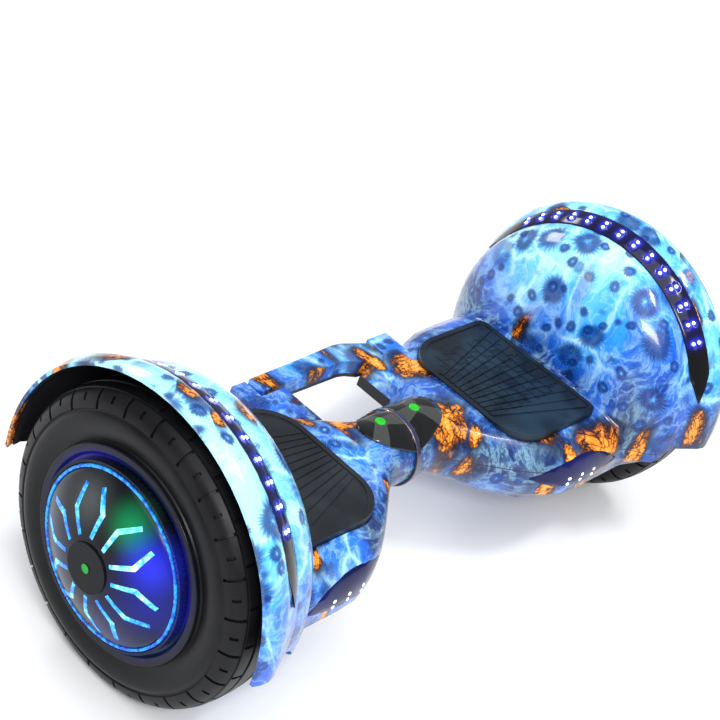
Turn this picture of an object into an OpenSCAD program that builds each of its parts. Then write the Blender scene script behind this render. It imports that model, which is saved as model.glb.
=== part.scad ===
// Self balancing two wheeled board with ten inch tyres.
// X runs along the axles, Y points to the back (the handle's side) and Z up.
// The origin lies on the ground, half way between the wheels.

/* [Wheels] */
// Outer diameter of the tyre
tyre_d = 254; // [230:1:270]
// Width of the tyre
tyre_w = 62; // [50:1:64]
// Half of the track: from the middle of the board to a tyre's middle
half_track = 282; // [276:1:310]
// Diameter of the tyre's bead seat on the rim
bead_d = 164; // [154:1:172]
// Diameter of the domed light cover on the hub
cover_d = 140; // [120:1:144]
// How far the dome stands out over its rim
cover_rise = 22; // [14:1:26]
// Pairs of light bars on the hub cover, which lean together
bar_pairs = 6; // [3:1:8]
// Width of a light bar
bar_light_w = 4.2; // [2.8:0.2:5]
// Diameter of the motor's axle
axle_d = 16; // [12:1:20]

/* [Body] */
// Height of the deck above the ground
deck_z = 141; // [136:1:150]
// Height of the belly above the ground
belly_z = 66; // [56:1:74]
// Width of the body from front to back
body_w = 214; // [200:1:226]
// Thickness of the shells
wall = 3; // [2.5:0.5:3.5]
// Height of the centre pivot's axis above the ground
pivot_z = 114; // [108:1:116]
// Radius of the neck around the pivot
neck_r = 32; // [31:1:38]
// Gap that lets the two halves twist past each other
twist_gap = 0.6; // [0.4:0.1:1]

/* [Wheel arches] */
// How far the dome's edge stands over the tyre's tread
dome_over = 6; // [6:1:10]
// How far the arch's crest stands over the tyre's tread
crest_over = 21; // [19:1:28]
// Depth of the dome along the axle
dome_depth = 54; // [44:1:56]
// Half of the angle that the light band spans over the top
band_half_angle = 73; // [56:1:76]
// Light pairs along each band
pair_count = 14; // [7:1:14]
// Angle between two light pairs
pair_step = 7.5; // [6:0.5:7.5]

/* [Foot pads] */
// Length of a pad from the neck's side to the wheel's side
pad_l = 116; // [100:1:118]
// Width of a pad from front to back
pad_w = 148; // [120:1:150]
// Thickness of a pad
pad_t = 7.4; // [6.6:0.2:8]
// Travel of a pad when a foot stands on it
pad_travel = 1.5; // [1:0.1:2]
// Ribs on a pad
rib_count = 11; // [5:2:15]

/* [Handle] */
// Width of the handle bar
bar_w = 18; // [15:1:20]
// Height of the handle bar
bar_h = 18; // [16:1:20]
// Height of the handle bar's middle above the ground
bar_z = 124; // [121:1:126]
// Diameter of the handle's pins
handle_pin_d = 6; // [5:0.5:6.5]

/* [Electrics] */
// Bore of the charging socket
socket_d = 12.4; // [10:0.2:13]
// Depth of the charging socket
socket_l = 10; // [8:1:11]
// Diameter of the power button
button_d = 15; // [12:1:17]
// Travel of the power button
button_travel = 1.2; // [0.8:0.1:1.6]

/* [Hidden] */
$fn = 64;
PAIRED = ["upper_shell", "lower_shell", "arch_liner", "light_band", "band_lights",
    "headlight_lens", "headlight_board", "foot_pad", "pivot_cover", "indicator_window",
    "chassis", "axle_clamp", "axle", "stator", "sensor_board", "shell_screws",
    "tyre", "rim", "motor_cover", "hub_cover", "light_guide", "hub_cap", "wheel_bearings",
    "handle_bracket", "handle_pin"];
SINGLE = ["pivot_tube", "pivot_ring", "pivot_bushes", "main_board", "battery_pack",
    "handle_bar", "charge_socket", "charge_cap", "power_button"];

// clearances
fit = 0.02;
running = 0.05;
gap = 0.3;

// places that several pieces share
axle_z = tyre_d / 2;
axle_r = axle_d / 2;
tyre_r = tyre_d / 2;
seam_z = (deck_z + belly_z) / 2;
neck_end = 30;
flare_l = 125;
shell_start = 3;
band_in_x = half_track - 24;
band_out_x = half_track - 3;
crest_x = half_track + 9;
lip_x = half_track + 22;
dome_r = tyre_r + dome_over;
crest_r = tyre_r + crest_over;
lip_r = crest_r - 3;
band_out_r = crest_r - 4.5;
band_slope = atan((band_out_r - dome_r) / (band_out_x - band_in_x));
band_wall = 3.8;
dome_face = band_in_x - dome_depth;
lower_end = band_in_x - 15;
skirt_z = axle_z - 9;
dome_power = 2.4;
blend_power = 14;

bead_r = bead_d / 2;
motor_in_x = half_track - 30;
motor_seat_x = half_track - 25;
plate_x = half_track + 24;
face_x = half_track + 29;
bearing_r = axle_r + 9;
cover_r = cover_d / 2;
cover_edge_x = half_track + 38;
cover_tip_x = cover_edge_x + cover_rise;
cover_ball_r = (pow(cover_r, 2) + pow(cover_rise, 2)) / (2 * cover_rise);
cover_ball_x = cover_tip_x - cover_ball_r;
cap_r = 20.5;

pad_top = deck_z + 1.4;
pad_low = pad_top - pad_t;
pocket_z = pad_low - pad_travel - 0.5;
pad_x1 = dome_face - 3;
pad_x0 = pad_x1 - pad_l;
pad_in_r = 40;
pad_out_r = 10;
stem_x = [pad_x0 + 33, pad_x1 - 29];

floor_z = belly_z + wall + 2.4;
floor_top = floor_z + 4;
chassis_x0 = 104;
chassis_x1 = dome_face + 28;
clamp_x = dome_face + 18;
board_z = 124;
tube_r = 14;
bush_r = 17;

bar_y = 101;
pin_r = handle_pin_d / 2;
right_pin_x = 62;
left_pin_x = -66;
bracket_z0 = seam_z + 2;
bracket_z1 = bar_z + bar_h / 2;

port_x = -165;
port_z = seam_z - 11;
button_x = -125;

// small helpers
function clamp(v) = min(1, max(0, v));
function ease(v) = let (c = clamp(v)) c * c * (3 - 2 * c);
function mix(a, b, t) = a + (b - a) * t;
function last(v) = v[len(v) - 1];
function soft_max(a, b) = pow(pow(a, blend_power) + pow(b, blend_power), 1 / blend_power);

// a right side piece, or its mirror image on the left
module side(left = false) { mirror([left ? 1 : 0, 0, 0]) children(); }
// turns a profile drawn as [radius, x] about the axle; half_angle is measured from straight up
module about_axle(half_angle = 180) {
    translate([0, 0, axle_z]) rotate([0, 90, 0])
        if (half_angle >= 180) rotate_extrude($fn = 128) children();
        else rotate([0, 0, 180 - half_angle]) rotate_extrude(angle = 2 * half_angle, $fn = 128) children();
}
module rod_x(r, x0, x1, z = axle_z, y = 0) { translate([x0, y, z]) rotate([0, 90, 0]) cylinder(r = r, h = x1 - x0); }
module tube_x(r, bore, x0, x1, z = axle_z, y = 0) {
    difference() {
        rod_x(r, x0, x1, z, y);
        rod_x(bore, x0 - 1, x1 + 1, z, y);
    }
}
module rod_y(r, y0, y1, x, z) { translate([x, y1, z]) rotate([90, 0, 0]) cylinder(r = r, h = y1 - y0); }
module rod_z(r, z0, z1, x, y) { translate([x, y, z0]) cylinder(r = r, h = z1 - z0); }
module block(x0, x1, y0, y1, z0, z1) { translate([x0, y0, z0]) cube([x1 - x0, y1 - y0, z1 - z0]); }
// keeps a moulded shape with its openings as one skin
module moulded() { resize([0, 0, 0]) children(); }

// ---- the body's skin: a rounded box that flows out of the neck and into the wheel's dome ----
// t is the inset from the outer skin, and a the angle about the section's middle
function mid_z(x) = mix(pivot_z, seam_z, ease((x - neck_end) / 70));
function skin_h(x, t) = mix(neck_r, (deck_z - belly_z) / 2, ease((x - neck_end) / 70)) - t;
function skin_w(x, t) = neck_r + (body_w / 2 - neck_r) * pow(sin(90 * clamp((x - neck_end) / flare_l)), 1.2) - t;
function skin_power(x) = 2 + 1.2 * ease((x - neck_end) / 80);
function body_r(x, a, t) = let (p = skin_power(x))
    pow(pow(abs(cos(a)) / skin_w(x, t), p) + pow(abs(sin(a)) / skin_h(x, t), p), -1 / p);
// height of the skin over its middle at a given y, and its half width at a given z
function skin_up(x, y, t) = let (p = skin_power(x)) skin_h(x, t) * pow(1 - pow(min(1, abs(y) / skin_w(x, t)), p), 1 / p);
function skin_out(x, z, t) = let (p = skin_power(x)) skin_w(x, t) * pow(1 - pow(min(1, abs(z - mid_z(x)) / skin_h(x, t)), p), 1 / p);
function arch_r(x) = x < band_in_x ? dome_r
    : x < band_out_x ? mix(dome_r, band_out_r, (x - band_in_x) / (band_out_x - band_in_x))
    : x < crest_x ? mix(band_out_r, crest_r, sin(90 * (x - band_out_x) / (crest_x - band_out_x)))
    : mix(crest_r, lip_r, 1 - cos(90 * clamp((x - crest_x) / (lip_x - crest_x))));
function dome_share(x, t) = let (u = (band_in_x - x) / (dome_depth - t))
    u <= 0 ? 1 : u >= 1 ? 0 : pow(1 - pow(u, dome_power), 1 / dome_power);
function dome_polar(x, a, t) =
    let (r = (arch_r(x) - t) * dome_share(x, t), e = axle_z - mid_z(x), q = r * r - pow(e * cos(a), 2))
    q <= 0 ? 0 : max(0, e * sin(a) + sqrt(q));
function skin_r(x, a, t) =
    let (top = a >= 0 && a <= 180,
         body = body_r(x, a, t) * (top ? 1 - 0.5 * ease((x - band_in_x + 24) / 24) : 1),
         under = top ? 1 : 1 - ease(abs(sin(a)) * 2.2))
    soft_max(body, dome_polar(x, a, t) * under);
function skirt_angle(x) = let (r = arch_r(x), z = mix(mid_z(x), skirt_z, ease((x - lower_end) / 12)), drop = axle_z - z)
    x <= lower_end ? 0 : atan2(z - mid_z(x), sqrt(r * r - drop * drop));
// the shell is thicker where the light band is let in
function shell_t(x) = wall + (band_wall - wall) * ease((x - band_in_x + 8) / 6) * (1 - ease((x - band_out_x - 3) / 6));
function skin_point(x, a, t) = let (r = skin_r(x, a, t)) [x, r * cos(a), mid_z(x) + r * sin(a)];

body_stations = [shell_start, 16, 30, 40, 52, 64, 77, 90, 105, 122, 140, 162, 184, dome_face - 3];
dome_stations = [for (u = [0.0, 0.015, 0.05, 0.11, 0.2, 0.33, 0.5, 0.7]) mix(dome_face + 0.4, band_in_x, u)];
arch_stations = [band_in_x - 6, band_in_x, band_out_x, band_out_x + 4, crest_x, crest_x + 7, lip_x];
upper_stations = concat(body_stations, dome_stations, arch_stations);
lower_stations = concat(body_stations, [for (x = dome_stations) if (x < lower_end - wall - 3) x]);

// a slab of skin between the insets t0 (outer) and t1 (inner), from angle a0 to a1
// xs holds the stations, or the shares of a reach that changes with the angle
module skin_slab(xs, a0, a1, n, t0, t1, reach = undef) {
    ns = len(xs);
    function place(x, j, t) = let (a = mix(a0, a1, j / (n - 1)))
        skin_point(is_undef(reach) ? x : shell_start + x * reach(a), a, t);
    pts = concat([for (x = xs, j = [0:n - 1]) place(x, j, t0)], [for (x = xs, j = [0:n - 1]) place(x, j, t1)]);
    o = function (i, j) i * n + j;
    q = function (i, j) ns * n + i * n + j;
    polyhedron(pts, concat(
        [for (i = [0:ns - 2], j = [0:n - 2]) each [[o(i, j), o(i + 1, j + 1), o(i, j + 1)], [o(i, j), o(i + 1, j), o(i + 1, j + 1)]]],
        [for (i = [0:ns - 2], j = [0:n - 2]) each [[q(i, j), q(i, j + 1), q(i + 1, j + 1)], [q(i, j), q(i + 1, j + 1), q(i + 1, j)]]],
        [for (i = [0:ns - 2]) each [[o(i, 0), q(i + 1, 0), o(i + 1, 0)], [o(i, 0), q(i, 0), q(i + 1, 0)]]],
        [for (i = [0:ns - 2]) each [[o(i, n - 1), o(i + 1, n - 1), q(i + 1, n - 1)], [o(i, n - 1), q(i + 1, n - 1), q(i, n - 1)]]],
        [for (j = [0:n - 2]) each [[o(0, j), o(0, j + 1), q(0, j + 1)], [o(0, j), q(0, j + 1), q(0, j)]]],
        [for (j = [0:n - 2]) each [[o(ns - 1, j), q(ns - 1, j + 1), o(ns - 1, j + 1)], [o(ns - 1, j), q(ns - 1, j), q(ns - 1, j + 1)]]]
    ), convexity = 6);
}
// everything inside the skin at the inset t
module skin_core(xs, n, t) {
    ns = len(xs);
    pts = concat([for (x = xs, j = [0:n - 1]) skin_point(x, 360 * j / n, t)], [[xs[0], 0, mid_z(xs[0])], [last(xs), 0, mid_z(last(xs))]]);
    o = function (i, j) i * n + j % n;
    polyhedron(pts, concat(
        [for (i = [0:ns - 2], j = [0:n - 1]) each [[o(i, j), o(i + 1, j + 1), o(i, j + 1)], [o(i, j), o(i + 1, j), o(i + 1, j + 1)]]],
        [for (j = [0:n - 1]) [o(0, j), o(0, j + 1), ns * n]],
        [for (j = [0:n - 1]) [o(ns - 1, j + 1), o(ns - 1, j), ns * n + 1]]
    ), convexity = 6);
}
// the skin above or below the seam; the lower half is closed by a wall next to the wheel
module half_skin(stations, n, top) {
    outer = concat(stations, top ? [] : [lower_end]);
    inner = concat(stations, top ? [] : [lower_end - wall]);
    ns = len(outer);
    function turn(x, j) = let (s = top ? skirt_angle(x) : 0, a = mix(s, 180 - s, j / (n - 1))) top ? a : a + 180;
    pts = concat([for (x = outer, j = [0:n - 1]) skin_point(x, turn(x, j), 0)],
        [for (x = inner, j = [0:n - 1]) skin_point(x, turn(x, j), top ? shell_t(x) : wall)],
        [[last(outer), 0, mid_z(last(outer))], [last(inner), 0, mid_z(last(inner))]]);
    o = function (i, j) i * n + j;
    q = function (i, j) ns * n + i * n + j;
    hub = 2 * ns * n;
    polyhedron(pts, concat(
        [for (i = [0:ns - 2], j = [0:n - 2]) each [[o(i, j), o(i + 1, j + 1), o(i, j + 1)], [o(i, j), o(i + 1, j), o(i + 1, j + 1)]]],
        [for (i = [0:ns - 2], j = [0:n - 2]) each [[q(i, j), q(i, j + 1), q(i + 1, j + 1)], [q(i, j), q(i + 1, j + 1), q(i + 1, j)]]],
        [for (i = [0:ns - 2]) each [[o(i, 0), q(i + 1, 0), o(i + 1, 0)], [o(i, 0), q(i, 0), q(i + 1, 0)]]],
        [for (i = [0:ns - 2]) each [[o(i, n - 1), o(i + 1, n - 1), q(i + 1, n - 1)], [o(i, n - 1), q(i + 1, n - 1), q(i, n - 1)]]],
        [for (j = [0:n - 2]) each [[o(0, j), o(0, j + 1), q(0, j + 1)], [o(0, j), q(0, j + 1), q(0, j)]]],
        top ? [for (j = [0:n - 2]) each [[o(ns - 1, j), q(ns - 1, j + 1), o(ns - 1, j + 1)], [o(ns - 1, j), q(ns - 1, j), q(ns - 1, j + 1)]]]
            : concat([for (j = [0:n - 2]) [o(ns - 1, j), hub, o(ns - 1, j + 1)]],
                [for (j = [0:n - 2]) [q(ns - 1, j), q(ns - 1, j + 1), hub + 1]],
                [[o(ns - 1, 0), q(ns - 1, 0), hub], [q(ns - 1, 0), hub + 1, hub],
                 [o(ns - 1, n - 1), hub, q(ns - 1, n - 1)], [q(ns - 1, n - 1), hub, hub + 1]])
    ), convexity = 6);
}

// ---- outlines that cut the shells ----
function corner(x, y, r, a0, n) = [for (i = [0:n]) [x + r * cos(a0 + 90 * i / n), y + r * sin(a0 + 90 * i / n)]];
module pad_prism(grow, z0, z1) {
    w = pad_w / 2;
    translate([0, 0, z0]) linear_extrude(z1 - z0) polygon(concat(
        corner(pad_x1 - pad_out_r, w - pad_out_r, pad_out_r + grow, 0, 5),
        corner(pad_x0 + pad_in_r, w - pad_in_r, pad_in_r + grow, 90, 10),
        corner(pad_x0 + pad_in_r, -w + pad_in_r, pad_in_r + grow, 180, 10),
        corner(pad_x1 - pad_out_r, -w + pad_out_r, pad_out_r + grow, 270, 5)));
}
lens_x0 = 100;
lens_x1 = dome_face + 3;
lens_tip_z = seam_z + 3.5;
module lens_prism(grow, y0, y1) {
    n = 10;
    span = lens_x1 - lens_x0 + 2 * grow;
    function rise(i) = 1 - pow(abs(2 * i / n - 1), 2.2);
    translate([0, y1, 0]) rotate([90, 0, 0]) linear_extrude(y1 - y0) polygon(concat(
        [for (i = [0:n]) [lens_x0 - grow + span * i / n, lens_tip_z + 0.8 + grow + 18 * rise(i)]],
        [for (i = [n:-1:0]) [lens_x0 - grow + span * i / n, lens_tip_z - 0.8 - grow - 10 * rise(i)]]));
}
// the band's section as [radius, x], let into the arch by its depth and bulging over it
band_bulge = 1.4;
module band_section(grow, depth) {
    inset = 1.2 - grow;
    s = (band_out_r - dome_r) / (band_out_x - band_in_x);
    function r(x) = dome_r + (x - band_in_x) * s;
    x0 = band_in_x + inset;
    x1 = band_out_x - inset;
    lift = grow > 0 ? 3 : 0;
    bulge = [for (t = [0.88, 0.7, 0.5, 0.3, 0.12]) [r(mix(x0, x1, t)) + lift + band_bulge * sin(180 * t), mix(x0, x1, t)]];
    polygon(concat([[r(x0) - depth, x0], [r(x1) - depth, x1], [r(x1) + lift, x1]], bulge, [[r(x0) + lift, x0]]));
}
band_taper = 13;
module band_shape(grow, depth) {
    reach = band_half_angle + grow * 0.4;
    mid_x = (band_in_x + band_out_x) / 2;
    half = (band_out_x - band_in_x) / 2 + grow;
    run = 2 * PI * dome_r * band_taper / 360;
    difference() {
        about_axle(reach) band_section(grow, depth);
        for (end = [-1, 1], edge = [-1, 1])
            translate([0, 0, axle_z]) rotate([end * (reach - band_taper), 0, 0])
                translate([0, 0, dome_r - 12]) linear_extrude(34)
                    polygon([[mid_x + edge * half, 0], [mid_x + edge * (half + 8), 0], [mid_x + edge * (half + 8), -end * (run + 12)],
                        [mid_x - edge * half * 12 / run, -end * (run + 12)]]);
    }
}
screw_at = [[122, body_w * 0.34], [122, -body_w * 0.34], [186, body_w * 0.37], [186, -body_w * 0.37]];
function screw_foot(p) = mid_z(p[0]) - skin_up(p[0], p[1], 0);

module lens_prism_front(grow) { lens_prism(grow, -body_w, -body_w / 2 + 35); }

module upper_shell() {
    color("deepskyblue") moulded() difference() {
        union() {
            half_skin(upper_stations, 33, true);
            intersection() {
                pad_prism(3.6, pocket_z - 3, deck_z + 4);
                skin_core([60, 77, 90, 105, 122, 140, 162, 184, dome_face - 3, dome_face + 4], 32, 1.2);
            }
            for (p = screw_at) rod_z(5, seam_z, mid_z(p[0]) + skin_up(p[0], p[1], wall / 2), p[0], p[1], $fn = 20);
        }
        pad_prism(0.6, pocket_z, deck_z + 20);
        for (x = stem_x) rod_z(4, pocket_z - 5, pocket_z + 1, x, 0, $fn = 24);
        band_shape(0.3, 1.8);
        lens_prism_front(0);
        rod_z(3.4, pivot_z, pivot_z + neck_r + 5, 22, 4, $fn = 24);
        for (p = screw_at) rod_z(2, seam_z - 1, seam_z + 14, p[0], p[1], $fn = 16);
    }
}
module lower_shell(left = false) {
    color("royalblue") moulded() difference() {
        union() {
            half_skin(lower_stations, 21, false);
            for (p = screw_at) rod_z(5, screw_foot(p) + wall / 2, seam_z, p[0], p[1], $fn = 20);
        }
        lens_prism_front(0);
        for (p = screw_at) {
            rod_z(2.2, 0, seam_z + 1, p[0], p[1], $fn = 16);
            rod_z(4.2, 0, screw_foot(p) + 6, p[0], p[1], $fn = 20);
        }
        if (left) {
            rod_y(9.2, 60, body_w, -port_x, port_z, $fn = 32);
            rod_y(button_d / 2 + 0.35, 60, body_w, -button_x, port_z, $fn = 32);
        }
    }
}
// trough that closes the space around the wheel's upper half
module arch_liner() {
    thick = 1.6;
    xs = [lower_end + 0.4, band_in_x - 6, band_in_x, band_out_x, band_out_x + 4, crest_x, crest_x + 7];
    function under(x) = (arch_r(x) - shell_t(x)) * dome_share(x, shell_t(x)) - 0.6;
    rim_r = under(xs[0]);
    skirt = acos((skirt_z - axle_z) / rim_r) - 0.6;
    color("dimgray") {
        intersection() {
            about_axle() polygon([[axle_r + 4, xs[0]], [rim_r - 1, xs[0]], [rim_r - 1, xs[0] + 2], [axle_r + 4, xs[0] + 2]]);
            block(0, lip_x, -200, 200, seam_z + 0.4, axle_z + 200);
        }
        about_axle(skirt) polygon(concat([for (x = xs) [under(x), x]], [for (i = [len(xs) - 1:-1:0]) [under(xs[i]) - thick, xs[i] + (i == 0 ? 2 : 0)]]));
    }
}
// places a small piece on the band at the angle a from straight up and at the share s across it
module on_band(a, s) {
    x = mix(band_in_x, band_out_x, s);
    r = mix(dome_r, band_out_r, s);
    translate([0, 0, axle_z]) rotate([a, 0, 0]) translate([x, 0, r]) rotate([0, -band_slope, 0]) children();
}
pair_angles = [for (i = [0:pair_count - 1]) (i - (pair_count - 1) / 2) * pair_step];
module light_band() {
    color("black") difference() {
        band_shape(0, 1.6);
        for (a = pair_angles, s = [0.39, 0.64]) on_band(a, s) translate([0, 0, -0.9]) cylinder(r = 1.7, h = 3 + band_bulge, $fn = 24);
    }
}
module band_lights() {
    color("cyan") for (a = pair_angles, s = [0.39, 0.64]) on_band(a, s) translate([0, 0, -0.85]) cylinder(r = 1.6, h = 1.1 + band_bulge * sin(180 * s), $fn = 24);
}
module headlight_lens() {
    color("navy") moulded() intersection() {
        lens_prism(-gap, -body_w, 0);
        skin_slab([lens_x0 - 4, 105, 112, 122, 140, 162, 184, dome_face - 3, dome_face + 5], 148, 206, 12, 0.2, 2.2);
    }
}
light_y = skin_out(160, seam_z, 2.2);
module headlight_board() {
    color("darkgreen") union() {
        block(138, 186, -light_y + 5, -light_y + 6.6, seam_z - 6.5, seam_z + 9);
        for (x = [141, 158, 175], z = [-3.9, 2.3]) rod_y(2.2, -light_y + 2.4, -light_y + 5.1, x, seam_z + z, $fn = 24);
    }
}
// the ribs fan out from the neck towards the wheel, with narrow grooves between them
rib_fan = 95;
rib_step = atan((pad_w - 12) / (rib_fan + pad_l) / rib_count);
module rib(k) {
    function edge(r, a, shift) = [pad_x0 - rib_fan + r, r * tan(a) + shift / cos(a)];
    translate([0, 0, pad_top - 1.3]) linear_extrude(1.3)
        polygon([edge(rib_fan, k * rib_step, 0.8), edge(rib_fan + pad_l, k * rib_step, 0.8),
            edge(rib_fan + pad_l, (k + 1) * rib_step, -0.8), edge(rib_fan, (k + 1) * rib_step, -0.8)]);
}
module foot_pad() {
    color("gray") union() {
        difference() {
            pad_prism(0, pad_low, pad_top);
            pad_prism(-5, pad_top - 1.2, pad_top + 1);
        }
        intersection() {
            pad_prism(-7, pad_top - 1.3, pad_top);
            for (i = [0:rib_count - 1]) rib(i - rib_count / 2);
        }
        for (x = stem_x) rod_z(3, board_z + 6.2, pad_low + 1, x, 0);
    }
}
// the cover reaches furthest along the neck at its top
cover_half_angle = 57;
cover_reach = function (a) 1 + 43 * (1 - pow(min(1, abs(a - 90) / cover_half_angle), 2.2));
module pivot_cover() {
    color("black") moulded() difference() {
        skin_slab([0, 0.3, 0.6, 0.8, 1], 90 - cover_half_angle, 90 + cover_half_angle, 33, -2.3, -0.3, cover_reach);
        rod_z(5, pivot_z, pivot_z + neck_r + 9, 22, 4, $fn = 28);
    }
}
module indicator_window() {
    z = pivot_z + neck_r;
    color("lime") union() {
        rod_z(4.7, z + 0.4, z + 2.4, 22, 4);
        rod_z(3, z - 6, z + 0.5, 22, 4);
    }
}
module chassis(left = false) {
    bore = left ? tube_r + fit : bush_r + fit;
    color("silver") difference() {
        union() {
            rod_x(22, 8, 46, pivot_z);
            translate([0, 15, 0]) rotate([90, 0, 0]) linear_extrude(30)
                polygon([[20, pivot_z - 20], [20, pivot_z + 14], [72, pivot_z + 14], [chassis_x0 + 2, floor_top + 12], [chassis_x0 + 2, floor_z], [92, floor_z], [60, pivot_z - neck_r + 4.5], [40, pivot_z - neck_r + 6.5]]);
            block(chassis_x0, chassis_x1, -50, 50, floor_z, floor_top);
            for (y = [-50, 47]) block(chassis_x0, chassis_x1, y, y + 3, floor_top - 1, floor_top + 8);
            block(chassis_x1 - 20, chassis_x1, -24, 24, floor_top - 1, axle_z);
            for (x = [chassis_x0 + 4, 196], y = [-18, 18]) rod_z(4, floor_top - 1, board_z, x, y);
        }
        rod_x(bore, 0, 60, pivot_z);
        if (!left) rod_x(20.6, 46.1, 52, pivot_z);
        rod_x(axle_r + fit, chassis_x1 - 30, chassis_x1 + 5);
        for (y = [-15, 15]) rod_z(3.1, axle_z - 14, axle_z + 5, clamp_x, y);
        for (y = [-30, 30]) rod_z(2.2, 0, floor_top + 5, 150, y);
    }
}
module axle_clamp() {
    color("darkgray") union() {
        difference() {
            block(chassis_x1 - 19, chassis_x1 - 1, -22, 22, axle_z + 0.1, axle_z + axle_r + 7);
            rod_x(axle_r + fit, chassis_x1 - 30, chassis_x1 + 5);
        }
        for (y = [-15, 15]) {
            rod_z(3, axle_z - 12, axle_z + axle_r + 8, clamp_x, y);
            rod_z(5, axle_z + axle_r + 6.5, axle_z + axle_r + 11, clamp_x, y, $fn = 6);
        }
    }
}
module axle() {
    color("silver") union() {
        rod_x(axle_r, chassis_x1 - 18, face_x + 2);
        rod_x(axle_r + 3, lower_end + 2.8, motor_in_x - 0.6);
    }
}
module stator() {
    color("peru") union() {
        tube_x(bead_r - 16, bead_r - 26, motor_seat_x + 9, plate_x - 7);
        tube_x(axle_r + 8, axle_r + fit, motor_seat_x + 6, plate_x - 5);
        for (i = [0:5]) translate([0, 0, axle_z]) rotate([60 * i, 0, 0]) block(motor_seat_x + 12, plate_x - 10, -4, 4, axle_r + 6, bead_r - 25);
        for (i = [0:17]) translate([0, 0, axle_z]) rotate([20 * i, 0, 0]) block(motor_seat_x + 11, plate_x - 9, -6, 6, bead_r - 17, bead_r - 9);
    }
}
module sensor_board() {
    color("green") union() {
        block(chassis_x0 - 2, 202, -24, 24, board_z, board_z + 1.6);
        for (x = stem_x) block(x - 5, x + 5, -4, 4, board_z + 1.5, board_z + 4);
        block(140, 152, -8, 8, board_z + 1.5, board_z + 3);
    }
}
module shell_screws() {
    color("silver") {
        for (p = screw_at) {
            rod_z(1.9, screw_foot(p) + 4, seam_z + 13, p[0], p[1], $fn = 24);
            rod_z(4, screw_foot(p) + 2.6, screw_foot(p) + 5.8, p[0], p[1], $fn = 24);
        }
    }
}
module tyre() {
    w = tyre_w / 2;
    shape = [[bead_r + 0.1, w - 5.3], [bead_r + 5, w - 5.3], [bead_r + 11, w - 1.5], [tyre_r - 23, w], [tyre_r - 13, w - 0.7],
        [tyre_r - 6.5, w - 3.5], [tyre_r - 2.7, w - 8], [tyre_r - 0.8, w - 13], [tyre_r - 0.3, 13], [tyre_r - 3, 12], [tyre_r - 3, 9.5], [tyre_r - 0.1, 8.5], [tyre_r, 3]];
    hollow = [[bead_r + 0.1, w - 14], [bead_r + 8, w - 14], [bead_r + 15, w - 7], [tyre_r - 17, w - 6.5], [tyre_r - 10, w - 11], [tyre_r - 7, w - 21]];
    color("black") about_axle() translate([0, half_track])
        polygon(concat(shape, [for (i = [len(shape) - 1:-1:0]) [shape[i][0], -shape[i][1]]],
            [for (p = hollow) [p[0], -p[1]]], [for (i = [len(hollow) - 1:-1:0]) hollow[i]]));
}
module rim() {
    color("silver") about_axle()
        polygon([[bead_r - 6, motor_seat_x], [bead_r, motor_seat_x], [bead_r, half_track + tyre_w / 2 - 5.1], [bead_r + 4.4, half_track + tyre_w / 2 - 5.1],
            [bead_r + 4.4, face_x + 3], [bead_r - 2, face_x + 3], [bead_r - 4, face_x], [bearing_r + fit, face_x], [bearing_r + fit, plate_x - 2],
            [bearing_r + 5, plate_x - 2], [bearing_r + 6, plate_x], [bead_r - 6, plate_x]]);
}
module motor_cover() {
    flange_x = half_track - tyre_w / 2 + 5.1;
    color("gray") about_axle()
        polygon([[bearing_r + fit, motor_in_x], [bead_r + 4.4, motor_in_x], [bead_r + 4.4, flange_x], [bead_r, flange_x], [bead_r, motor_seat_x],
            [bearing_r + 5, motor_seat_x], [bearing_r + 5, motor_seat_x + 3], [bearing_r + fit, motor_seat_x + 3]]);
}
module wheel_bearings() {
    color("silver") {
        tube_x(bearing_r, axle_r + running, motor_in_x + 0.4, motor_seat_x + 3);
        tube_x(bearing_r, axle_r + running, plate_x - 2, face_x - 0.4);
    }
}
// kinked light bars, drawn flat as seen along the axle
bar_turn = 25;
module bars(w) {
    // each bar runs out, away from its partner, then back towards it
    for (p = [0:bar_pairs - 1], s = [-1, 1]) let (step = 180 / bar_pairs, c = 2 * step * p - bar_turn,
        a = c + s * step * 0.46, k = c + s * step * 0.62, b = c + s * step * 0.29,
        p0 = (cap_r + 4.5) * [cos(a), sin(a)], p1 = cover_r * 0.64 * [cos(k), sin(k)], p2 = cover_r * 0.87 * [cos(b), sin(b)],
        d0 = (p1 - p0) / norm(p1 - p0), d1 = (p2 - p1) / norm(p2 - p1), m = (d0 + d1) / (1 + d0 * d1),
        n0 = w * [d0.y, -d0.x], n1 = w * [m.y, -m.x], n2 = w * [d1.y, -d1.x])
        polygon([p0 + 0.75 * n0, p1 + n1, p2 + 0.85 * n2, p2 - 0.85 * n2, p1 - n1, p0 - 0.75 * n0]);
}
module bar_prism(w) { translate([cover_edge_x - 2, 0, axle_z]) rotate([0, 90, 0]) linear_extrude(cover_rise + 6) bars(w); }
module cover_ball(grow) { translate([cover_ball_x, 0, axle_z]) rotate([0, 90, 0]) sphere(r = cover_ball_r + grow, $fn = 128); }
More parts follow.
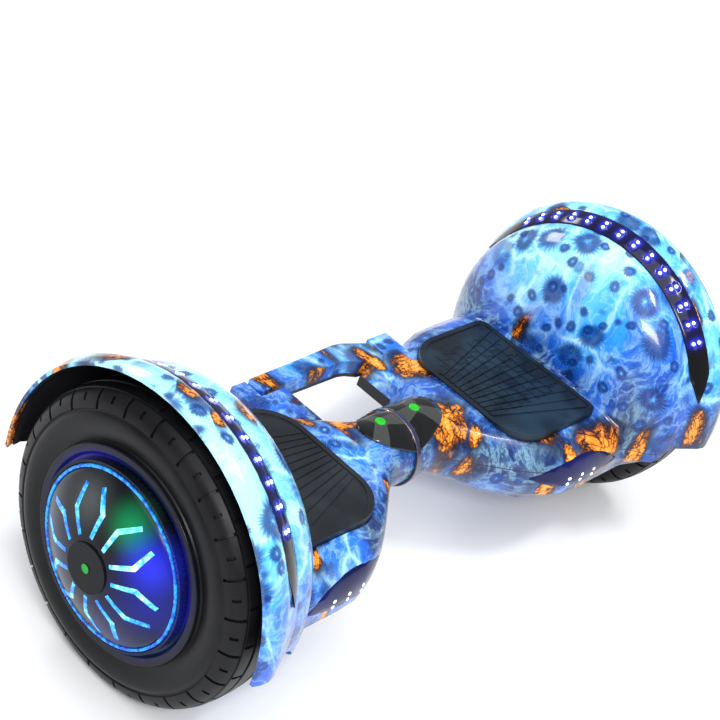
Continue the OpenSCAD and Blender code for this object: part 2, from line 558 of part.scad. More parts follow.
// width of the lit ring around the cover
ring_w = 2.2;
module hub_cover() {
    color("midnightblue") difference() {
        union() {
            intersection() {
                cover_ball(0);
                rod_x(cover_r, cover_edge_x - 3, cover_tip_x + 2);
            }
            rod_x(cover_r - 0.5, face_x, cover_edge_x - 2.9);
            // bezel around the lit ring
            tube_x(cover_r + ring_w + 3.4, cover_r + ring_w + 0.4, face_x + 0.1, cover_edge_x - 0.5);
            tube_x(cover_r + ring_w + 1, cover_r - 1, face_x + 0.1, face_x + 2.4);
        }
        intersection() {
            cover_ball(-3);
            rod_x(cover_r - 3, cover_edge_x - 5, cover_tip_x + 2);
        }
        rod_x(cover_r - 3, face_x - 1, cover_edge_x - 2);
        rod_x(cap_r + fit, face_x, cover_tip_x + 5);
        bar_prism(bar_light_w / 2 + 0.15);
    }
}
module light_guide() {
    color("aqua") {
        tube_x(cover_r + ring_w, cover_r + 0.2, face_x + 2.5, cover_edge_x + 0.3);
        difference() {
            intersection() {
                bar_prism(bar_light_w / 2);
                cover_ball(0.3);
            }
            cover_ball(-2.6);
        }
    }
}
module hub_cap() {
    color("dimgray") union() {
        rod_x(cap_r, cover_tip_x - 4.5, cover_tip_x);
        rod_x(cap_r + 3, cover_tip_x - 9, cover_tip_x - 5.3);
        rod_x(cap_r - 1, cover_tip_x - 6, cover_tip_x - 4);
        rod_x(4, cover_tip_x - 1, cover_tip_x + 0.5);
    }
}
module pivot_tube() {
    color("silver") union() {
        tube_x(tube_r, tube_r - 4, -46, 48, pivot_z);
        tube_x(20, tube_r - 1, 46.5, 50, pivot_z);
    }
}
module pivot_ring() { color("orange") tube_x(neck_r + 2.8, neck_r - 2.5, -shell_start, shell_start - twist_gap, pivot_z); }
module pivot_bushes() {
    color("ivory") {
        tube_x(bush_r, tube_r + running, 8.5, 18, pivot_z);
        tube_x(bush_r, tube_r + running, 36, 45.5, pivot_z);
    }
}
module main_board() {
    color("green") union() {
        block(-190, -114, -40, 40, floor_top + 6, floor_top + 7.6);
        for (x = [-186, -118], y = [-36, 36]) rod_z(2.5, floor_top + 0.05, floor_top + 6.5, x, y);
        block(-176, -150, -30, 30, floor_top + 7, floor_top + 18);
        for (y = [-20, 0, 20]) rod_z(7, floor_top + 7, floor_top + 27, -132, y);
    }
}
module battery_pack() {
    color("slateblue") union() {
        block(114, 190, -44, 44, floor_top + 0.1, floor_top + 34);
        block(132, 172, -20, 20, floor_top + 33, floor_top + 36);
    }
}
bar_front = bar_y - bar_w / 2;
bar_back = bar_y + bar_w / 2;
module handle_bar() {
    color("dodgerblue") difference() {
        translate([0, 0, bar_z - bar_h / 2]) linear_extrude(bar_h)
            polygon([[-77.5, bar_front + 3], [-74.5, bar_front], [26, bar_front], [34, bar_front - 2], [44, bar_front - 8.2], [70, bar_front - 8.2], [71.5, bar_front - 6],
                [71.5, bar_back - 9], [66, bar_back - 6], [44, bar_back + 3], [34, bar_back + 4], [-20, bar_back + 1.5], [-74.5, bar_back], [-77.5, bar_back - 3]]);
        rod_y(pin_r + running, 70, 130, right_pin_x, bar_z);
        rod_y(pin_r + 3.4, 70, 130, left_pin_x, bar_z);
    }
}
bracket_stations = [for (x = body_stations) if (x > 38 && x < 106) x];
module right_bracket() {
    color("steelblue") moulded() difference() {
        union() {
            block(48, 100, 40, bar_front - 8.6, bracket_z0, bracket_z1);
            block(74, 100, 60, bar_back - 4, bracket_z0, bracket_z1);
        }
        skin_core(bracket_stations, 64, -0.15);
        rod_y(pin_r + 0.04, 40, 130, right_pin_x, bar_z, $fn = 32);
    }
}
module left_bracket() {
    color("steelblue") moulded() difference() {
        union() {
            block(-96, -52, 40, bar_front - 4.5, bracket_z0, bracket_z1);
            block(-96, -80, 60, bar_back - 1, bracket_z0, bracket_z1);
        }
        mirror([1, 0, 0]) skin_core(bracket_stations, 64, -0.15);
        rod_y(pin_r + 0.04, 40, 130, left_pin_x, bar_z, $fn = 32);
    }
}
module right_pin() { color("silver") rod_y(pin_r, 66, bar_back - 5, right_pin_x, bar_z); }
module left_pin() { color("silver") rod_y(pin_r, 66, bar_back - 1.6, left_pin_x, bar_z); }

port_face = body_w / 2 + 1.6;
hinge_z = port_z + 12.3;
hinge_y = port_face + 0.6;
// the mouth of the socket is wider, for the ring under the cap
cap_seat_r = socket_d / 2 + 1.6;
cap_seat_l = 1.2;
module charge_socket() {
    color("dimgray") difference() {
        union() {
            rod_y(9, port_face - cap_seat_l - socket_l - 1.8, port_face, port_x, port_z);
            rod_y(10.5, port_face - 0.7, port_face, port_x, port_z);
            for (x = [port_x - 7, port_x + 5]) block(x, x + 2, port_face - 0.6, hinge_y + 1.4, port_z + 7.4, hinge_z + 1.8);
        }
        rod_y(socket_d / 2, port_face - cap_seat_l - socket_l, port_face + 1, port_x, port_z);
        rod_y(cap_seat_r, port_face - cap_seat_l, port_face + 1, port_x, port_z);
        rod_x(1 + running, port_x - 9, port_x + 9, hinge_z, hinge_y, $fn = 32);
    }
}
module charge_cap() {
    color("black") union() {
        rod_y(8.6, port_face + 0.3, port_face + 2.1, port_x, port_z);
        difference() {
            rod_y(cap_seat_r - 0.4, port_face - 0.9, port_face + 1, port_x, port_z);
            rod_y(cap_seat_r - 1.2, port_face - 1, port_face + 0.3, port_x, port_z);
        }
        block(port_x - 4.6, port_x + 4.6, port_face + 0.5, port_face + 2.1, port_z + 5, hinge_z);
        rod_x(1.5, port_x - 4.6, port_x + 4.6, hinge_z, hinge_y, $fn = 32);
        rod_x(1, port_x - 7, port_x + 7, hinge_z, hinge_y, $fn = 32);
    }
}
module power_button() {
    color("red") rod_y(button_d / 2, body_w / 2 - 12, body_w / 2 + 2, button_x, port_z);
}

side(true) upper_shell();  // left_upper_shell
side() upper_shell();  // right_upper_shell
side(true) lower_shell(true);  // left_lower_shell
side() lower_shell();  // right_lower_shell
side(true) arch_liner();  // left_arch_liner
side() arch_liner();  // right_arch_liner
side(true) light_band();  // left_light_band
side() light_band();  // right_light_band
side(true) band_lights();  // left_band_lights
side() band_lights();  // right_band_lights
side(true) headlight_lens();  // left_headlight_lens
side() headlight_lens();  // right_headlight_lens
side(true) headlight_board();  // left_headlight_board
side() headlight_board();  // right_headlight_board
side(true) foot_pad();  // left_foot_pad
side() foot_pad();  // right_foot_pad
side(true) pivot_cover();  // left_pivot_cover
side() pivot_cover();  // right_pivot_cover
side(true) indicator_window();  // left_indicator_window
side() indicator_window();  // right_indicator_window
side(true) chassis(true);  // left_chassis
side() chassis();  // right_chassis
side(true) axle_clamp();  // left_axle_clamp
side() axle_clamp();  // right_axle_clamp
side(true) axle();  // left_axle
side() axle();  // right_axle
side(true) stator();  // left_stator
side() stator();  // right_stator
side(true) sensor_board();  // left_sensor_board
side() sensor_board();  // right_sensor_board
side(true) shell_screws();  // left_shell_screws
side() shell_screws();  // right_shell_screws
side(true) tyre();  // left_tyre
side() tyre();  // right_tyre
side(true) rim();  // left_rim
side() rim();  // right_rim
side(true) motor_cover();  // left_motor_cover
side() motor_cover();  // right_motor_cover
side(true) hub_cover();  // left_hub_cover
side() hub_cover();  // right_hub_cover
side(true) light_guide();  // left_light_guide
side() light_guide();  // right_light_guide
side(true) hub_cap();  // left_hub_cap
side() hub_cap();  // right_hub_cap
side(true) wheel_bearings();  // left_wheel_bearings
side() wheel_bearings();  // right_wheel_bearings
left_bracket();  // left_handle_bracket
right_bracket();  // right_handle_bracket
left_pin();  // left_handle_pin
right_pin();  // right_handle_pin
pivot_tube();
pivot_ring();
pivot_bushes();
main_board();
battery_pack();
handle_bar();
charge_socket();
charge_cap();
power_button();
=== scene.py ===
import math

import bmesh
import bpy
from bpy.props import FloatProperty, FloatVectorProperty, IntProperty, PointerProperty
from mathutils import Matrix, Vector
from mathutils.bvhtree import BVHTree


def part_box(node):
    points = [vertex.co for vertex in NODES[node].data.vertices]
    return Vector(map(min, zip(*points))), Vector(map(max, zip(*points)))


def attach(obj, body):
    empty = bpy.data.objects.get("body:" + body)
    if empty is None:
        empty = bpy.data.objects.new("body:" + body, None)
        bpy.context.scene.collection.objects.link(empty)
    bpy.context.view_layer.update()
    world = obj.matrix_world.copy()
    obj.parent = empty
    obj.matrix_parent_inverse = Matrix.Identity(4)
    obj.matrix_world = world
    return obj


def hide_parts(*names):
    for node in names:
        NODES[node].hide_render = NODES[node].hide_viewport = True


bl_info = {
    "name": "Self balancing board",
    "version": (1, 0, 0),
    "blender": (4, 5, 0),
    "location": "View3D > Sidebar > Board",
    "description": "Builds the looks of a self balancing board with a carrying handle over its CAD frame",
    "category": "Add Mesh",
}

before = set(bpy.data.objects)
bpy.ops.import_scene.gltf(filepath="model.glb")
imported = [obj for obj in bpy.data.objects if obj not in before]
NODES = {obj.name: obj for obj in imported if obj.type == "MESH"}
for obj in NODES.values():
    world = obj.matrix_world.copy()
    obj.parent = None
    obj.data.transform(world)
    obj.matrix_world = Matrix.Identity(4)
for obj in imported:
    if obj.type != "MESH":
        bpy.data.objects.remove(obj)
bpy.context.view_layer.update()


def middle_and_half(node, axis):
    """Middle and half width of a CAD node along one axis."""
    low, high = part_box(node)
    return (low[axis] + high[axis]) / 2, (high[axis] - low[axis]) / 2


AXLE_Z, TYRE_R = middle_and_half("right_tyre", 2)
TYRE_X, TYRE_HALF_W = middle_and_half("right_tyre", 0)
RIM_R = middle_and_half("right_rim", 2)[1]
PIVOT_Z, PIVOT_R = middle_and_half("pivot_ring", 2)
BAND_X = middle_and_half("right_light_band", 0)[0]
SEAM_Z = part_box("right_lower_shell")[1].z
DOME_X = 0.331  # where the hub's lamps sit behind the dome
BAND_R = 0.139  # radius of the light pairs about the axle
LIGHT_STEP = math.radians(7.5)  # angle between two light pairs
DOT_X = (0.139, 0.1565, 0.174)  # columns of dots in a headlight
DOT_Z = (0.0996, 0.1058)  # rows of dots in a headlight
SHOULDER_X = 0.0192  # where a tyre's shoulder starts, from its middle
STEPS_PER_GROOVE = 12
GRAIN_DEPTH = 0.00008  # height of the finest grain in a bump


# ---------------------------------------------------------------- settings
class BoardSizes(bpy.types.PropertyGroup):
    tread_depth: FloatProperty(
        name="Tread depth",
        description="Depth of the grooves in the tyre's tread",
        default=0.0028, min=0.001, max=0.005, unit="LENGTH",
    )
    tread_grooves: IntProperty(
        name="Tread grooves",
        description="Cross grooves around each shoulder of a tyre",
        default=24, min=12, max=40,
    )
    edge_radius: FloatProperty(
        name="Edge radius",
        description="Radius on the edges of castings, rims and motor covers",
        default=0.0008, min=0.0002, max=0.002, unit="LENGTH",
    )
    handle_radius: FloatProperty(
        name="Handle radius",
        description="Radius on the edges of the handle and its brackets",
        default=0.0034, min=0.0005, max=0.005, unit="LENGTH",
    )
    lamp_radius: FloatProperty(
        name="Lamp radius",
        description="Radius of one light dot in a headlight",
        default=0.0017, min=0.001, max=0.003, unit="LENGTH",
    )


class BoardColours(bpy.types.PropertyGroup):
    deep: FloatVectorProperty(
        name="Deep blue",
        description="Darkest blue of the film print",
        subtype="COLOR", size=3, default=(0.002, 0.016, 0.13), min=0, max=1,
    )
    middle: FloatVectorProperty(
        name="Middle blue",
        description="Main blue of the film print",
        subtype="COLOR", size=3, default=(0.010, 0.17, 0.78), min=0, max=1,
    )
    light: FloatVectorProperty(
        name="Light blue",
        description="Light cyan of the film print",
        subtype="COLOR", size=3, default=(0.12, 0.56, 1.0), min=0, max=1,
    )
    gold: FloatVectorProperty(
        name="Gold",
        description="Gold of the film print's drops",
        subtype="COLOR", size=3, default=(0.85, 0.27, 0.015), min=0, max=1,
    )
    lamp: FloatVectorProperty(
        name="Lamp",
        description="Colour of the headlights' light dots",
        subtype="COLOR", size=3, default=(0.45, 0.55, 1.0), min=0, max=1,
    )
    signal: FloatVectorProperty(
        name="Signal",
        description="Colour of the round indicators",
        subtype="COLOR", size=3, default=(0.02, 0.8, 0.03), min=0, max=1,
    )


def sizes():
    return bpy.context.scene.board_sizes


def colours():
    return bpy.context.scene.board_colours


# ---------------------------------------------------------------- node graphs
def opaque(colour):
    """A link as it is, or a plain colour with its alpha."""
    if isinstance(colour, bpy.types.NodeSocket):
        return colour
    return (*tuple(colour)[:3], 1.0)


class Graph:
    """A node tree, with short ways to add nodes to it and join them."""

    def __init__(self, tree):
        self.tree = tree

    def feed(self, socket, value):
        """Gives a socket a link or a value."""
        if isinstance(value, bpy.types.NodeSocket):
            self.tree.links.new(value, socket)
        else:
            socket.default_value = value

    def add(self, kind, inputs=None, **settings):
        """Adds a node, sets its settings, and feeds its inputs."""
        node = self.tree.nodes.new(kind)
        for name, value in settings.items():
            setattr(node, name, value)
        for name, value in (inputs or {}).items():
            self.feed(node.inputs[name], value)
        return node

    def math(self, operation, a, b=0.0, clamp=False):
        node = self.add("ShaderNodeMath", {0: a, 1: b}, operation=operation, use_clamp=clamp)
        return node.outputs[0]

    def chain(self, operation, first, others):
        for other in others:
            first = self.math(operation, first, other)
        return first

    def total(self, first, *others):
        return self.chain("ADD", first, others)

    def product(self, first, *others):
        return self.chain("MULTIPLY", first, others)

    def most(self, first, *others):
        return self.chain("MAXIMUM", first, others)

    def minus(self, a, b):
        return self.math("SUBTRACT", a, b)

    def size(self, a):
        return self.math("ABSOLUTE", a)

    def vector(self, operation, a, b=None, scale=None):
        inputs = {0: a}
        if b is not None:
            inputs[1] = b
        if scale is not None:
            inputs["Scale"] = scale
        node = self.add("ShaderNodeVectorMath", inputs, operation=operation)
        return node.outputs["Value" if operation in ("LENGTH", "DISTANCE") else "Vector"]

    def parts(self, vector):
        node = self.add("ShaderNodeSeparateXYZ", {0: vector})
        return tuple(node.outputs[axis] for axis in "XYZ")

    def join(self, x, y, z=0.0):
        return self.add("ShaderNodeCombineXYZ", {0: x, 1: y, 2: z}).outputs[0]

    def length(self, x, y):
        return self.vector("LENGTH", self.join(x, y))

    def mix(self, factor, a, b, how="MIX"):
        inputs = {0: factor, 6: opaque(a), 7: opaque(b)}
        return self.add("ShaderNodeMix", inputs, data_type="RGBA", blend_type=how).outputs[2]

    def remap(self, value, low, high, to_low=0.0, to_high=1.0):
        """A smooth step between two values, which may run downwards."""
        inputs = {"Value": value, "From Min": low, "From Max": high, "To Min": to_low, "To Max": to_high}
        return self.add("ShaderNodeMapRange", inputs, interpolation_type="SMOOTHSTEP").outputs[0]

    def ramp(self, value, stops):
        node = self.add("ShaderNodeValToRGB", {"Fac": value})
        elements = node.color_ramp.elements
        while len(elements) < len(stops):
            elements.new(0.5)
        for element, (position, colour) in zip(elements, stops):
            element.position = position
            element.color = opaque(colour)
        return node.outputs["Color"]

    def noise(self, vector, scale, detail=3.0, rough=0.5, distortion=0.0, output="Fac"):
        inputs = {
            "Vector": vector, "Scale": scale, "Detail": detail, "Roughness": rough, "Distortion": distortion,
        }
        return self.add("ShaderNodeTexNoise", inputs).outputs[output]

    def patches(self, vector, scale, low, high, detail=2.0, rough=0.5):
        """Soft edged patches of noise."""
        return self.remap(self.noise(vector, scale, detail, rough), low, high)

    def wander(self, vector, scale, detail, rough, reach):
        """The vector, moved about by noise."""
        drift = self.noise(vector, scale, detail, rough, output="Color")
        drift = self.vector("SUBTRACT", drift, (0.5, 0.5, 0.5))
        return self.vector("ADD", vector, self.vector("SCALE", drift, scale=reach))

    def cells(self, vector, scale, randomness=1.0, feature="F1"):
        inputs = {"Vector": vector, "Scale": scale, "Randomness": randomness}
        return self.add("ShaderNodeTexVoronoi", inputs, feature=feature).outputs

    def channel(self, colour, index):
        return self.add("ShaderNodeSeparateColor", {0: colour}).outputs[index]

    def group(self, tree, **inputs):
        return self.add("ShaderNodeGroup", inputs, node_tree=tree).outputs

    def bump(self, height, strength, distance=GRAIN_DEPTH, **more):
        inputs = {"Strength": strength, "Distance": distance, "Height": height, **more}
        return self.add("ShaderNodeBump", inputs).outputs[0]


# ---------------------------------------------------------------- node groups
def new_group(name, inputs, outputs):
    """A shader node group: its graph, its given values and its results. None makes a vector input."""
    tree = bpy.data.node_groups.new(name, "ShaderNodeTree")
    for label, default in inputs.items():
        kind = "NodeSocketVector" if default is None else "NodeSocketFloat"
        socket = tree.interface.new_socket(name=label, in_out="INPUT", socket_type=kind)
        if default is not None:
            socket.default_value = default
    for label, kind in outputs.items():
        tree.interface.new_socket(name=label, in_out="OUTPUT", socket_type=kind)
    given = tree.nodes.new("NodeGroupInput").outputs
    return Graph(tree), given, tree.nodes.new("NodeGroupOutput").inputs


def shared(name, build):
    """The node group of that name, built on its first use."""
    return bpy.data.node_groups.get(name) or build(name)


def grain_group(name):
    """Fine moulded or cast grain: a height for a bump, a roughness, and smudges."""
    inputs = {"Vector": None, "Scale": 900.0, "Roughness": 0.5, "Spread": 0.1}
    outputs = dict.fromkeys(("Height", "Roughness", "Smudge"), "NodeSocketFloat")
    g, given, out = new_group(name, inputs, outputs)
    p = given["Vector"]
    fine = g.noise(p, given["Scale"], 3.0, 0.6)
    pits = g.cells(p, g.product(given["Scale"], 1.3))["Distance"]
    broad = g.noise(p, 22.0, 4.0, 0.6)
    swing = g.product(g.minus(broad, 0.5), given["Spread"], 2.0)
    g.feed(out["Height"], g.total(g.product(fine, 0.7), g.product(pits, 0.3)))
    g.feed(out["Roughness"], g.math("ADD", given["Roughness"], swing, clamp=True))
    g.feed(out["Smudge"], g.remap(broad, 0.35, 0.7))
    return g.tree


def bloom_group(name):
    """Frilled blooms, one in each cell: how far inside one a point lies, and its shade."""
    inputs = {"Vector": None, "Scale": 40.0, "Petals": 12.0, "Size": 0.4, "Keep": 0.3}
    g, given, out = new_group(name, inputs, dict.fromkeys(("Mask", "Shade"), "NodeSocketFloat"))
    p = given["Vector"]
    cell = g.cells(p, given["Scale"], randomness=0.85)
    x, y, z = g.parts(g.vector("SUBTRACT", p, cell["Position"]))
    turn = g.math("ARCTAN2", g.total(z, g.product(x, 0.7)), g.minus(y, g.product(x, 0.5)))
    d = cell["Distance"]
    frill = g.noise(p, 210.0, 3.0, 0.6)
    twist = g.product(g.total(d, g.product(frill, 0.25)), 14.0)
    wave = g.math("SINE", g.total(g.product(turn, given["Petals"]), twist))
    rim = g.total(given["Size"], g.product(wave, 0.035))
    inside = g.remap(g.minus(rim, d), -0.07, 0.10)
    chosen = g.remap(g.minus(g.channel(cell["Color"], 0), given["Keep"]), 0.0, 0.12)
    g.feed(out["Mask"], g.product(inside, chosen))
    g.feed(out["Shade"], g.total(d, g.product(wave, d, 0.40), g.product(g.minus(frill, 0.5), 0.3)))
    return g.tree


def print_group(name):
    """The film print: swirling blues with light veins, dark frilled blooms and gold drops, over painted light
    and shade.
    """
    inputs = {"Vector": None, "Lightness": 0.0, "Gold": 1.0}
    g, given, out = new_group(name, inputs, {"Color": "NodeSocketColor"})
    p = given["Vector"]
    warped = g.wander(p, 6.0, 2.0, 0.5, 0.12)
    curl = g.wander(warped, 30.0, 4.0, 0.6, 0.030)
    wisp = g.noise(curl, 26.0, 7.0, 0.65, 1.2)
    base = print_ground(g, p, curl, wisp, given["Lightness"])
    base = print_blooms(g, p, base)
    z = g.parts(p)[2]
    smoke = g.product(g.patches(warped, 9.0, 0.50, 0.66, 3.0), g.remap(z, 0.15, 0.13), 0.55)
    base = g.mix(smoke, base, (0.13, 0.16, 0.26))
    g.feed(out["Color"], print_gold(g, p, warped, curl, wisp, base, given["Gold"]))
    return g.tree


def print_ground(g, p, curl, wisp, lightness):
    """Deep to light blue with light veins, over painted light and shade: painted light makes the tops of the
    arches lighter, painted shade makes the low front darker, and a painted highlight lightens the left half's
    front.
    """
    x, y, z = g.parts(p)
    flow = g.noise(curl, 11.0, 6.0, 0.6, 0.3)
    broad = g.noise(p, 5.5, 2.0, 0.5)
    # painted light and shade: lighter towards the top and the back, darker low down and in front
    painted_light_and_shade = g.total(g.remap(z, 0.12, 0.26, -0.10, 0.22), g.remap(y, -0.13, 0.10, -0.07, 0.05))
    # painted highlight on the front of the left half
    painted_front_highlight = g.product(g.remap(x, -0.08, -0.17, 0.0, 0.12), g.remap(y, 0.03, -0.09))
    tone = g.total(g.product(flow, 0.75), g.product(broad, 0.35), painted_light_and_shade, painted_front_highlight, lightness)
    c = colours()
    base = g.ramp(tone, [
        (0.36, c.deep), (0.46, (0.006, 0.085, 0.55)), (0.54, c.middle),
        (0.62, (0.03, 0.36, 0.95)), (0.72, c.light), (0.86, (0.40, 0.84, 1.0)),
    ])
    fade = g.remap(g.total(tone, g.product(g.minus(flow, 0.5), 0.6)), 0.42, 0.74, 0.05, 1.0)
    for scale, width, gain in ((22.0, 0.12, 0.9), (60.0, 0.10, 0.35)):
        net = g.cells(curl, scale, feature="DISTANCE_TO_EDGE")["Distance"]
        line = g.math("POWER", g.remap(net, width, 0.0), 1.8)
        base = g.mix(g.product(line, fade, gain), base, (0.55, 0.90, 1.0))
    ridge = g.minus(1.0, g.size(g.minus(g.product(wisp, 2.0), 1.0)))
    return g.mix(g.product(g.math("POWER", ridge, 16.0), 0.4), base, (0.45, 0.85, 1.0))


def print_blooms(g, p, base):
    """Dark blooms in two sizes, each with a light heart."""
    deep = colours().deep
    spot = g.wander(p, 24.0, 2.0, 0.5, 0.014)
    for scale, petals, size, keep in ((27.0, 21.0, 0.40, 0.10), (60.0, 15.0, 0.36, 0.35)):
        tree = shared("frilled_blooms", bloom_group)
        bloom = g.group(tree, Vector=spot, Scale=scale, Petals=petals, Size=size, Keep=keep)
        shade = g.ramp(bloom["Shade"], [
            (0.0, (0.20, 0.62, 0.95)), (0.07, (0.008, 0.12, 0.52)), (0.18, deep),
            (0.36, (0.002, 0.030, 0.22)), (0.50, (0.015, 0.20, 0.70)),
        ])
        base = g.mix(g.product(bloom["Mask"], 0.88), base, shade)
    return base


def print_gold(g, p, warped, curl, wisp, base, amount):
    """Gold drops with a dark rim: low in front, around the neck and on the lips of the arches."""
    x, y, z = g.parts(p)
    off = g.size(x)
    front = g.product(g.remap(z, 0.20, 0.12), g.remap(y, 0.02, -0.085), g.remap(x, -0.14, 0.05, 0.15, 1.0))
    neck = g.product(g.remap(off, 0.10, 0.05), 0.95)
    ends = g.product(y, g.remap(x, -0.1, 0.1, 1.0, -1.0))
    lip = g.product(g.remap(off, 0.268, 0.285), g.remap(ends, -0.06, 0.06), 0.7)
    patch = g.product(g.patches(p, 9.0, 0.44, 0.62, 1.0), g.remap(z, 0.19, 0.15), 0.42)
    where = g.product(g.most(front, neck, lip, patch), amount, 0.62)
    mapping = {"Vector": warped, "Rotation": (0.6, 0.3, 0.4), "Scale": (1.0, 1.0, 0.5)}
    streak = g.add("ShaderNodeMapping", mapping).outputs[0]
    insides = []
    rims = []
    depths = []
    for scale, size, shift in ((15.0, 0.42, 0.0), (34.0, 0.40, 3.1)):
        drop = g.cells(g.vector("ADD", streak, (shift, shift, shift)), scale)
        d = g.total(drop["Distance"], g.product(g.minus(wisp, 0.5), 0.30))
        chosen = g.remap(g.total(g.channel(drop["Color"], 1), where), 0.97, 1.0)
        insides.append(g.product(g.remap(d, size, size - 0.06), chosen))
        rims.append(g.product(g.remap(d, size + 0.22, size - 0.04), chosen))
        depths.append(d)
    crack = g.remap(g.cells(curl, 150.0, feature="DISTANCE_TO_EDGE")["Distance"], 0.12, 0.0)
    grain = g.noise(streak, 120.0, 5.0, 0.7)
    depth = g.math("MINIMUM", *depths)
    gold = g.ramp(g.total(g.product(grain, 0.9), g.product(depth, -0.85), g.product(crack, -0.16)), [
        (0.06, (0.02, 0.008, 0.006)), (0.15, (0.25, 0.05, 0.004)), (0.25, colours().gold),
        (0.38, (1.0, 0.44, 0.06)), (0.54, (1.0, 0.76, 0.36)),
    ])
    base = g.mix(g.product(g.most(*rims), 0.92), base, (0.004, 0.008, 0.035))
    return g.mix(g.most(*insides), base, gold)


# ---------------------------------------------------------------- materials
def start(name):
    """A new material, its graph, the inputs of its Principled BSDF, and the object coordinates."""
    material = bpy.data.materials.new(name)
    material.use_nodes = True
    g = Graph(material.node_tree)
    coords = g.add("ShaderNodeTexCoord").outputs["Object"]
    return material, g, material.node_tree.nodes["Principled BSDF"].inputs, coords


def gloss(b, specular, coat=0.0, coat_rough=0.03):
    b["Specular IOR Level"].default_value = specular
    b["Coat Weight"].default_value = coat
    b["Coat Roughness"].default_value = coat_rough


def emit(g, b, colour, strength=1.0):
    g.feed(b["Emission Color"], colour)
    b["Emission Strength"].default_value = strength


def grain(g, b, p, scale, rough, spread):
    """Grain that drives the roughness; returns its outputs."""
    tree = shared("moulded_grain", grain_group)
    out = g.group(tree, Vector=p, Scale=scale, Roughness=rough, Spread=spread)
    g.feed(b["Roughness"], out["Roughness"])
    return out


def about_axle(g, y, z):
    """Distance from the axles' line."""
    return g.length(y, g.minus(z, AXLE_Z))


def finish(name, base, rough, scale=900.0, bump=0.06, spread=0.08, metallic=0.0, coat=0.0, second=None,
           coat_rough=0.05, specular=0.5):
    """A moulded, cast or machined finish: colour that varies a little, grain and smudged gloss."""
    old = bpy.data.materials.get(name)
    if old:
        return old
    material, g, b, p = start(name)
    out = grain(g, b, p, scale, rough, spread)
    other = second or tuple(min(1.0, v * 1.35 + 0.002) for v in base)
    g.feed(b["Base Color"], g.mix(out["Smudge"], base, other))
    if bump:
        g.feed(b["Normal"], g.bump(out["Height"], bump))
    b["Metallic"].default_value = metallic
    gloss(b, specular, coat, coat_rough)
    return material


def glow(name, base, light, strength, variety, other, scale):
    """A lit plastic: its own light, with patches of a second colour."""
    material, g, b, p = start(name)
    patch = g.patches(p, scale, 0.42, 0.62, 3.0, 0.6)
    emit(g, b, g.mix(g.product(patch, variety), light, other), strength)
    g.feed(b["Base Color"], g.mix(patch, base, tuple(v * 0.8 for v in base)))
    b["Roughness"].default_value = 0.25
    return material


def print_film(name, lightness=0.0, gold=1.0, underside=None, seam=False, coat_rough=0.03):
    """The printed film under its clear coat, with bare black plastic below the underside height."""
    material, g, b, p = start(name)
    colour = g.group(shared("film_print", print_group), Vector=p, Lightness=lightness, Gold=gold)["Color"]
    rough = grain(g, b, p, 500.0, 0.2, 0.08)["Roughness"]
    z = g.parts(p)[2]
    if seam:
        line = g.remap(g.size(g.minus(z, SEAM_Z)), 0.0006, 0.0002)
        colour = g.mix(line, colour, (0.003, 0.006, 0.03))
    if underside is not None:
        bare = g.remap(z, underside + 0.0003, underside - 0.0003)
        colour = g.mix(bare, colour, (0.006, 0.006, 0.007))
        g.feed(b["Roughness"], g.total(rough, g.product(bare, 0.2)))
    g.feed(b["Base Color"], colour)
    gloss(b, 0.3, 0.4, coat_rough)
    return material


def band_material():
    """Black gloss that takes a blue glow around each light pair."""
    material, g, b, p = start("band_gloss_black")
    x, y, z = g.parts(p)
    turn = g.math("ARCTAN2", y, g.minus(z, AXLE_Z))
    along = g.product(g.math("PINGPONG", g.minus(turn, LIGHT_STEP / 2), LIGHT_STEP / 2), BAND_R)
    lit = g.remap(g.size(turn), math.radians(54), math.radians(49))
    across = g.product(g.minus(g.size(x), BAND_X + 0.0002), 0.75)
    near = g.product(g.math("POWER", g.remap(g.length(across, along), 0.0095, 0.0), 1.5), lit)
    grain(g, b, p, 300.0, 0.12, 0.05)
    g.feed(b["Base Color"], g.mix(lit, (0.003, 0.003, 0.004), (0.004, 0.004, 0.018)))
    dim = g.mix(lit, (0.0, 0.0, 0.0), (0.001, 0.001, 0.03))
    emit(g, b, g.mix(near, dim, (0.02, 0.03, 0.95)))
    gloss(b, 0.25, 0.2, 0.1)
    return material


def notched_material():
    """Navy-black rubber with lighter navy patches painted as a sheen, and staggered notches moulded between
    the ribs, with painted shade in the notches.
    """
    material, g, b, p = start("pad_rubber_notched")
    low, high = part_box("right_foot_pad")
    x, y, z = g.parts(p)
    u = g.minus(x, (low.x + high.x) / 2)
    v = g.minus(y, (low.y + high.y) / 2)
    notch = g.add("ShaderNodeTexBrick", {
        "Vector": g.join(g.total(v, g.product(u, 0.35)), u), "Scale": 1.0,
        "Mortar Size": 0.0011, "Mortar Smooth": 0.2, "Brick Width": 0.017, "Row Height": 0.0115,
        "Color1": (1, 1, 1, 1), "Color2": (0.55, 0.55, 0.55, 1), "Mortar": (0, 0, 0, 1),
    }).outputs["Color"]
    region = g.remap(g.most(g.product(g.size(u), 1.05), g.size(g.total(v, -0.008))), 0.046, 0.044)
    notch_cut_and_shade = g.product(region, g.minus(1.0, g.channel(notch, 0)))
    # painted sheen: patches of lighter navy on the navy-black rubber
    patch = g.patches(p, 22.0, 0.42, 0.60)
    base = g.mix(patch, (0.006, 0.010, 0.016), (0.012, 0.026, 0.042))
    # painted shade: the notches are darkened in colour, and the bump below also cuts them
    g.feed(b["Base Color"], g.mix(g.product(notch_cut_and_shade, 0.75), base, (0.001, 0.002, 0.004)))
    fine = g.bump(grain(g, b, p, 1200.0, 0.32, 0.12)["Height"], 0.25)
    g.feed(b["Normal"], g.bump(g.minus(1.0, notch_cut_and_shade), 1.0, 0.0012, Normal=fine))
    gloss(b, 0.3)
    return material


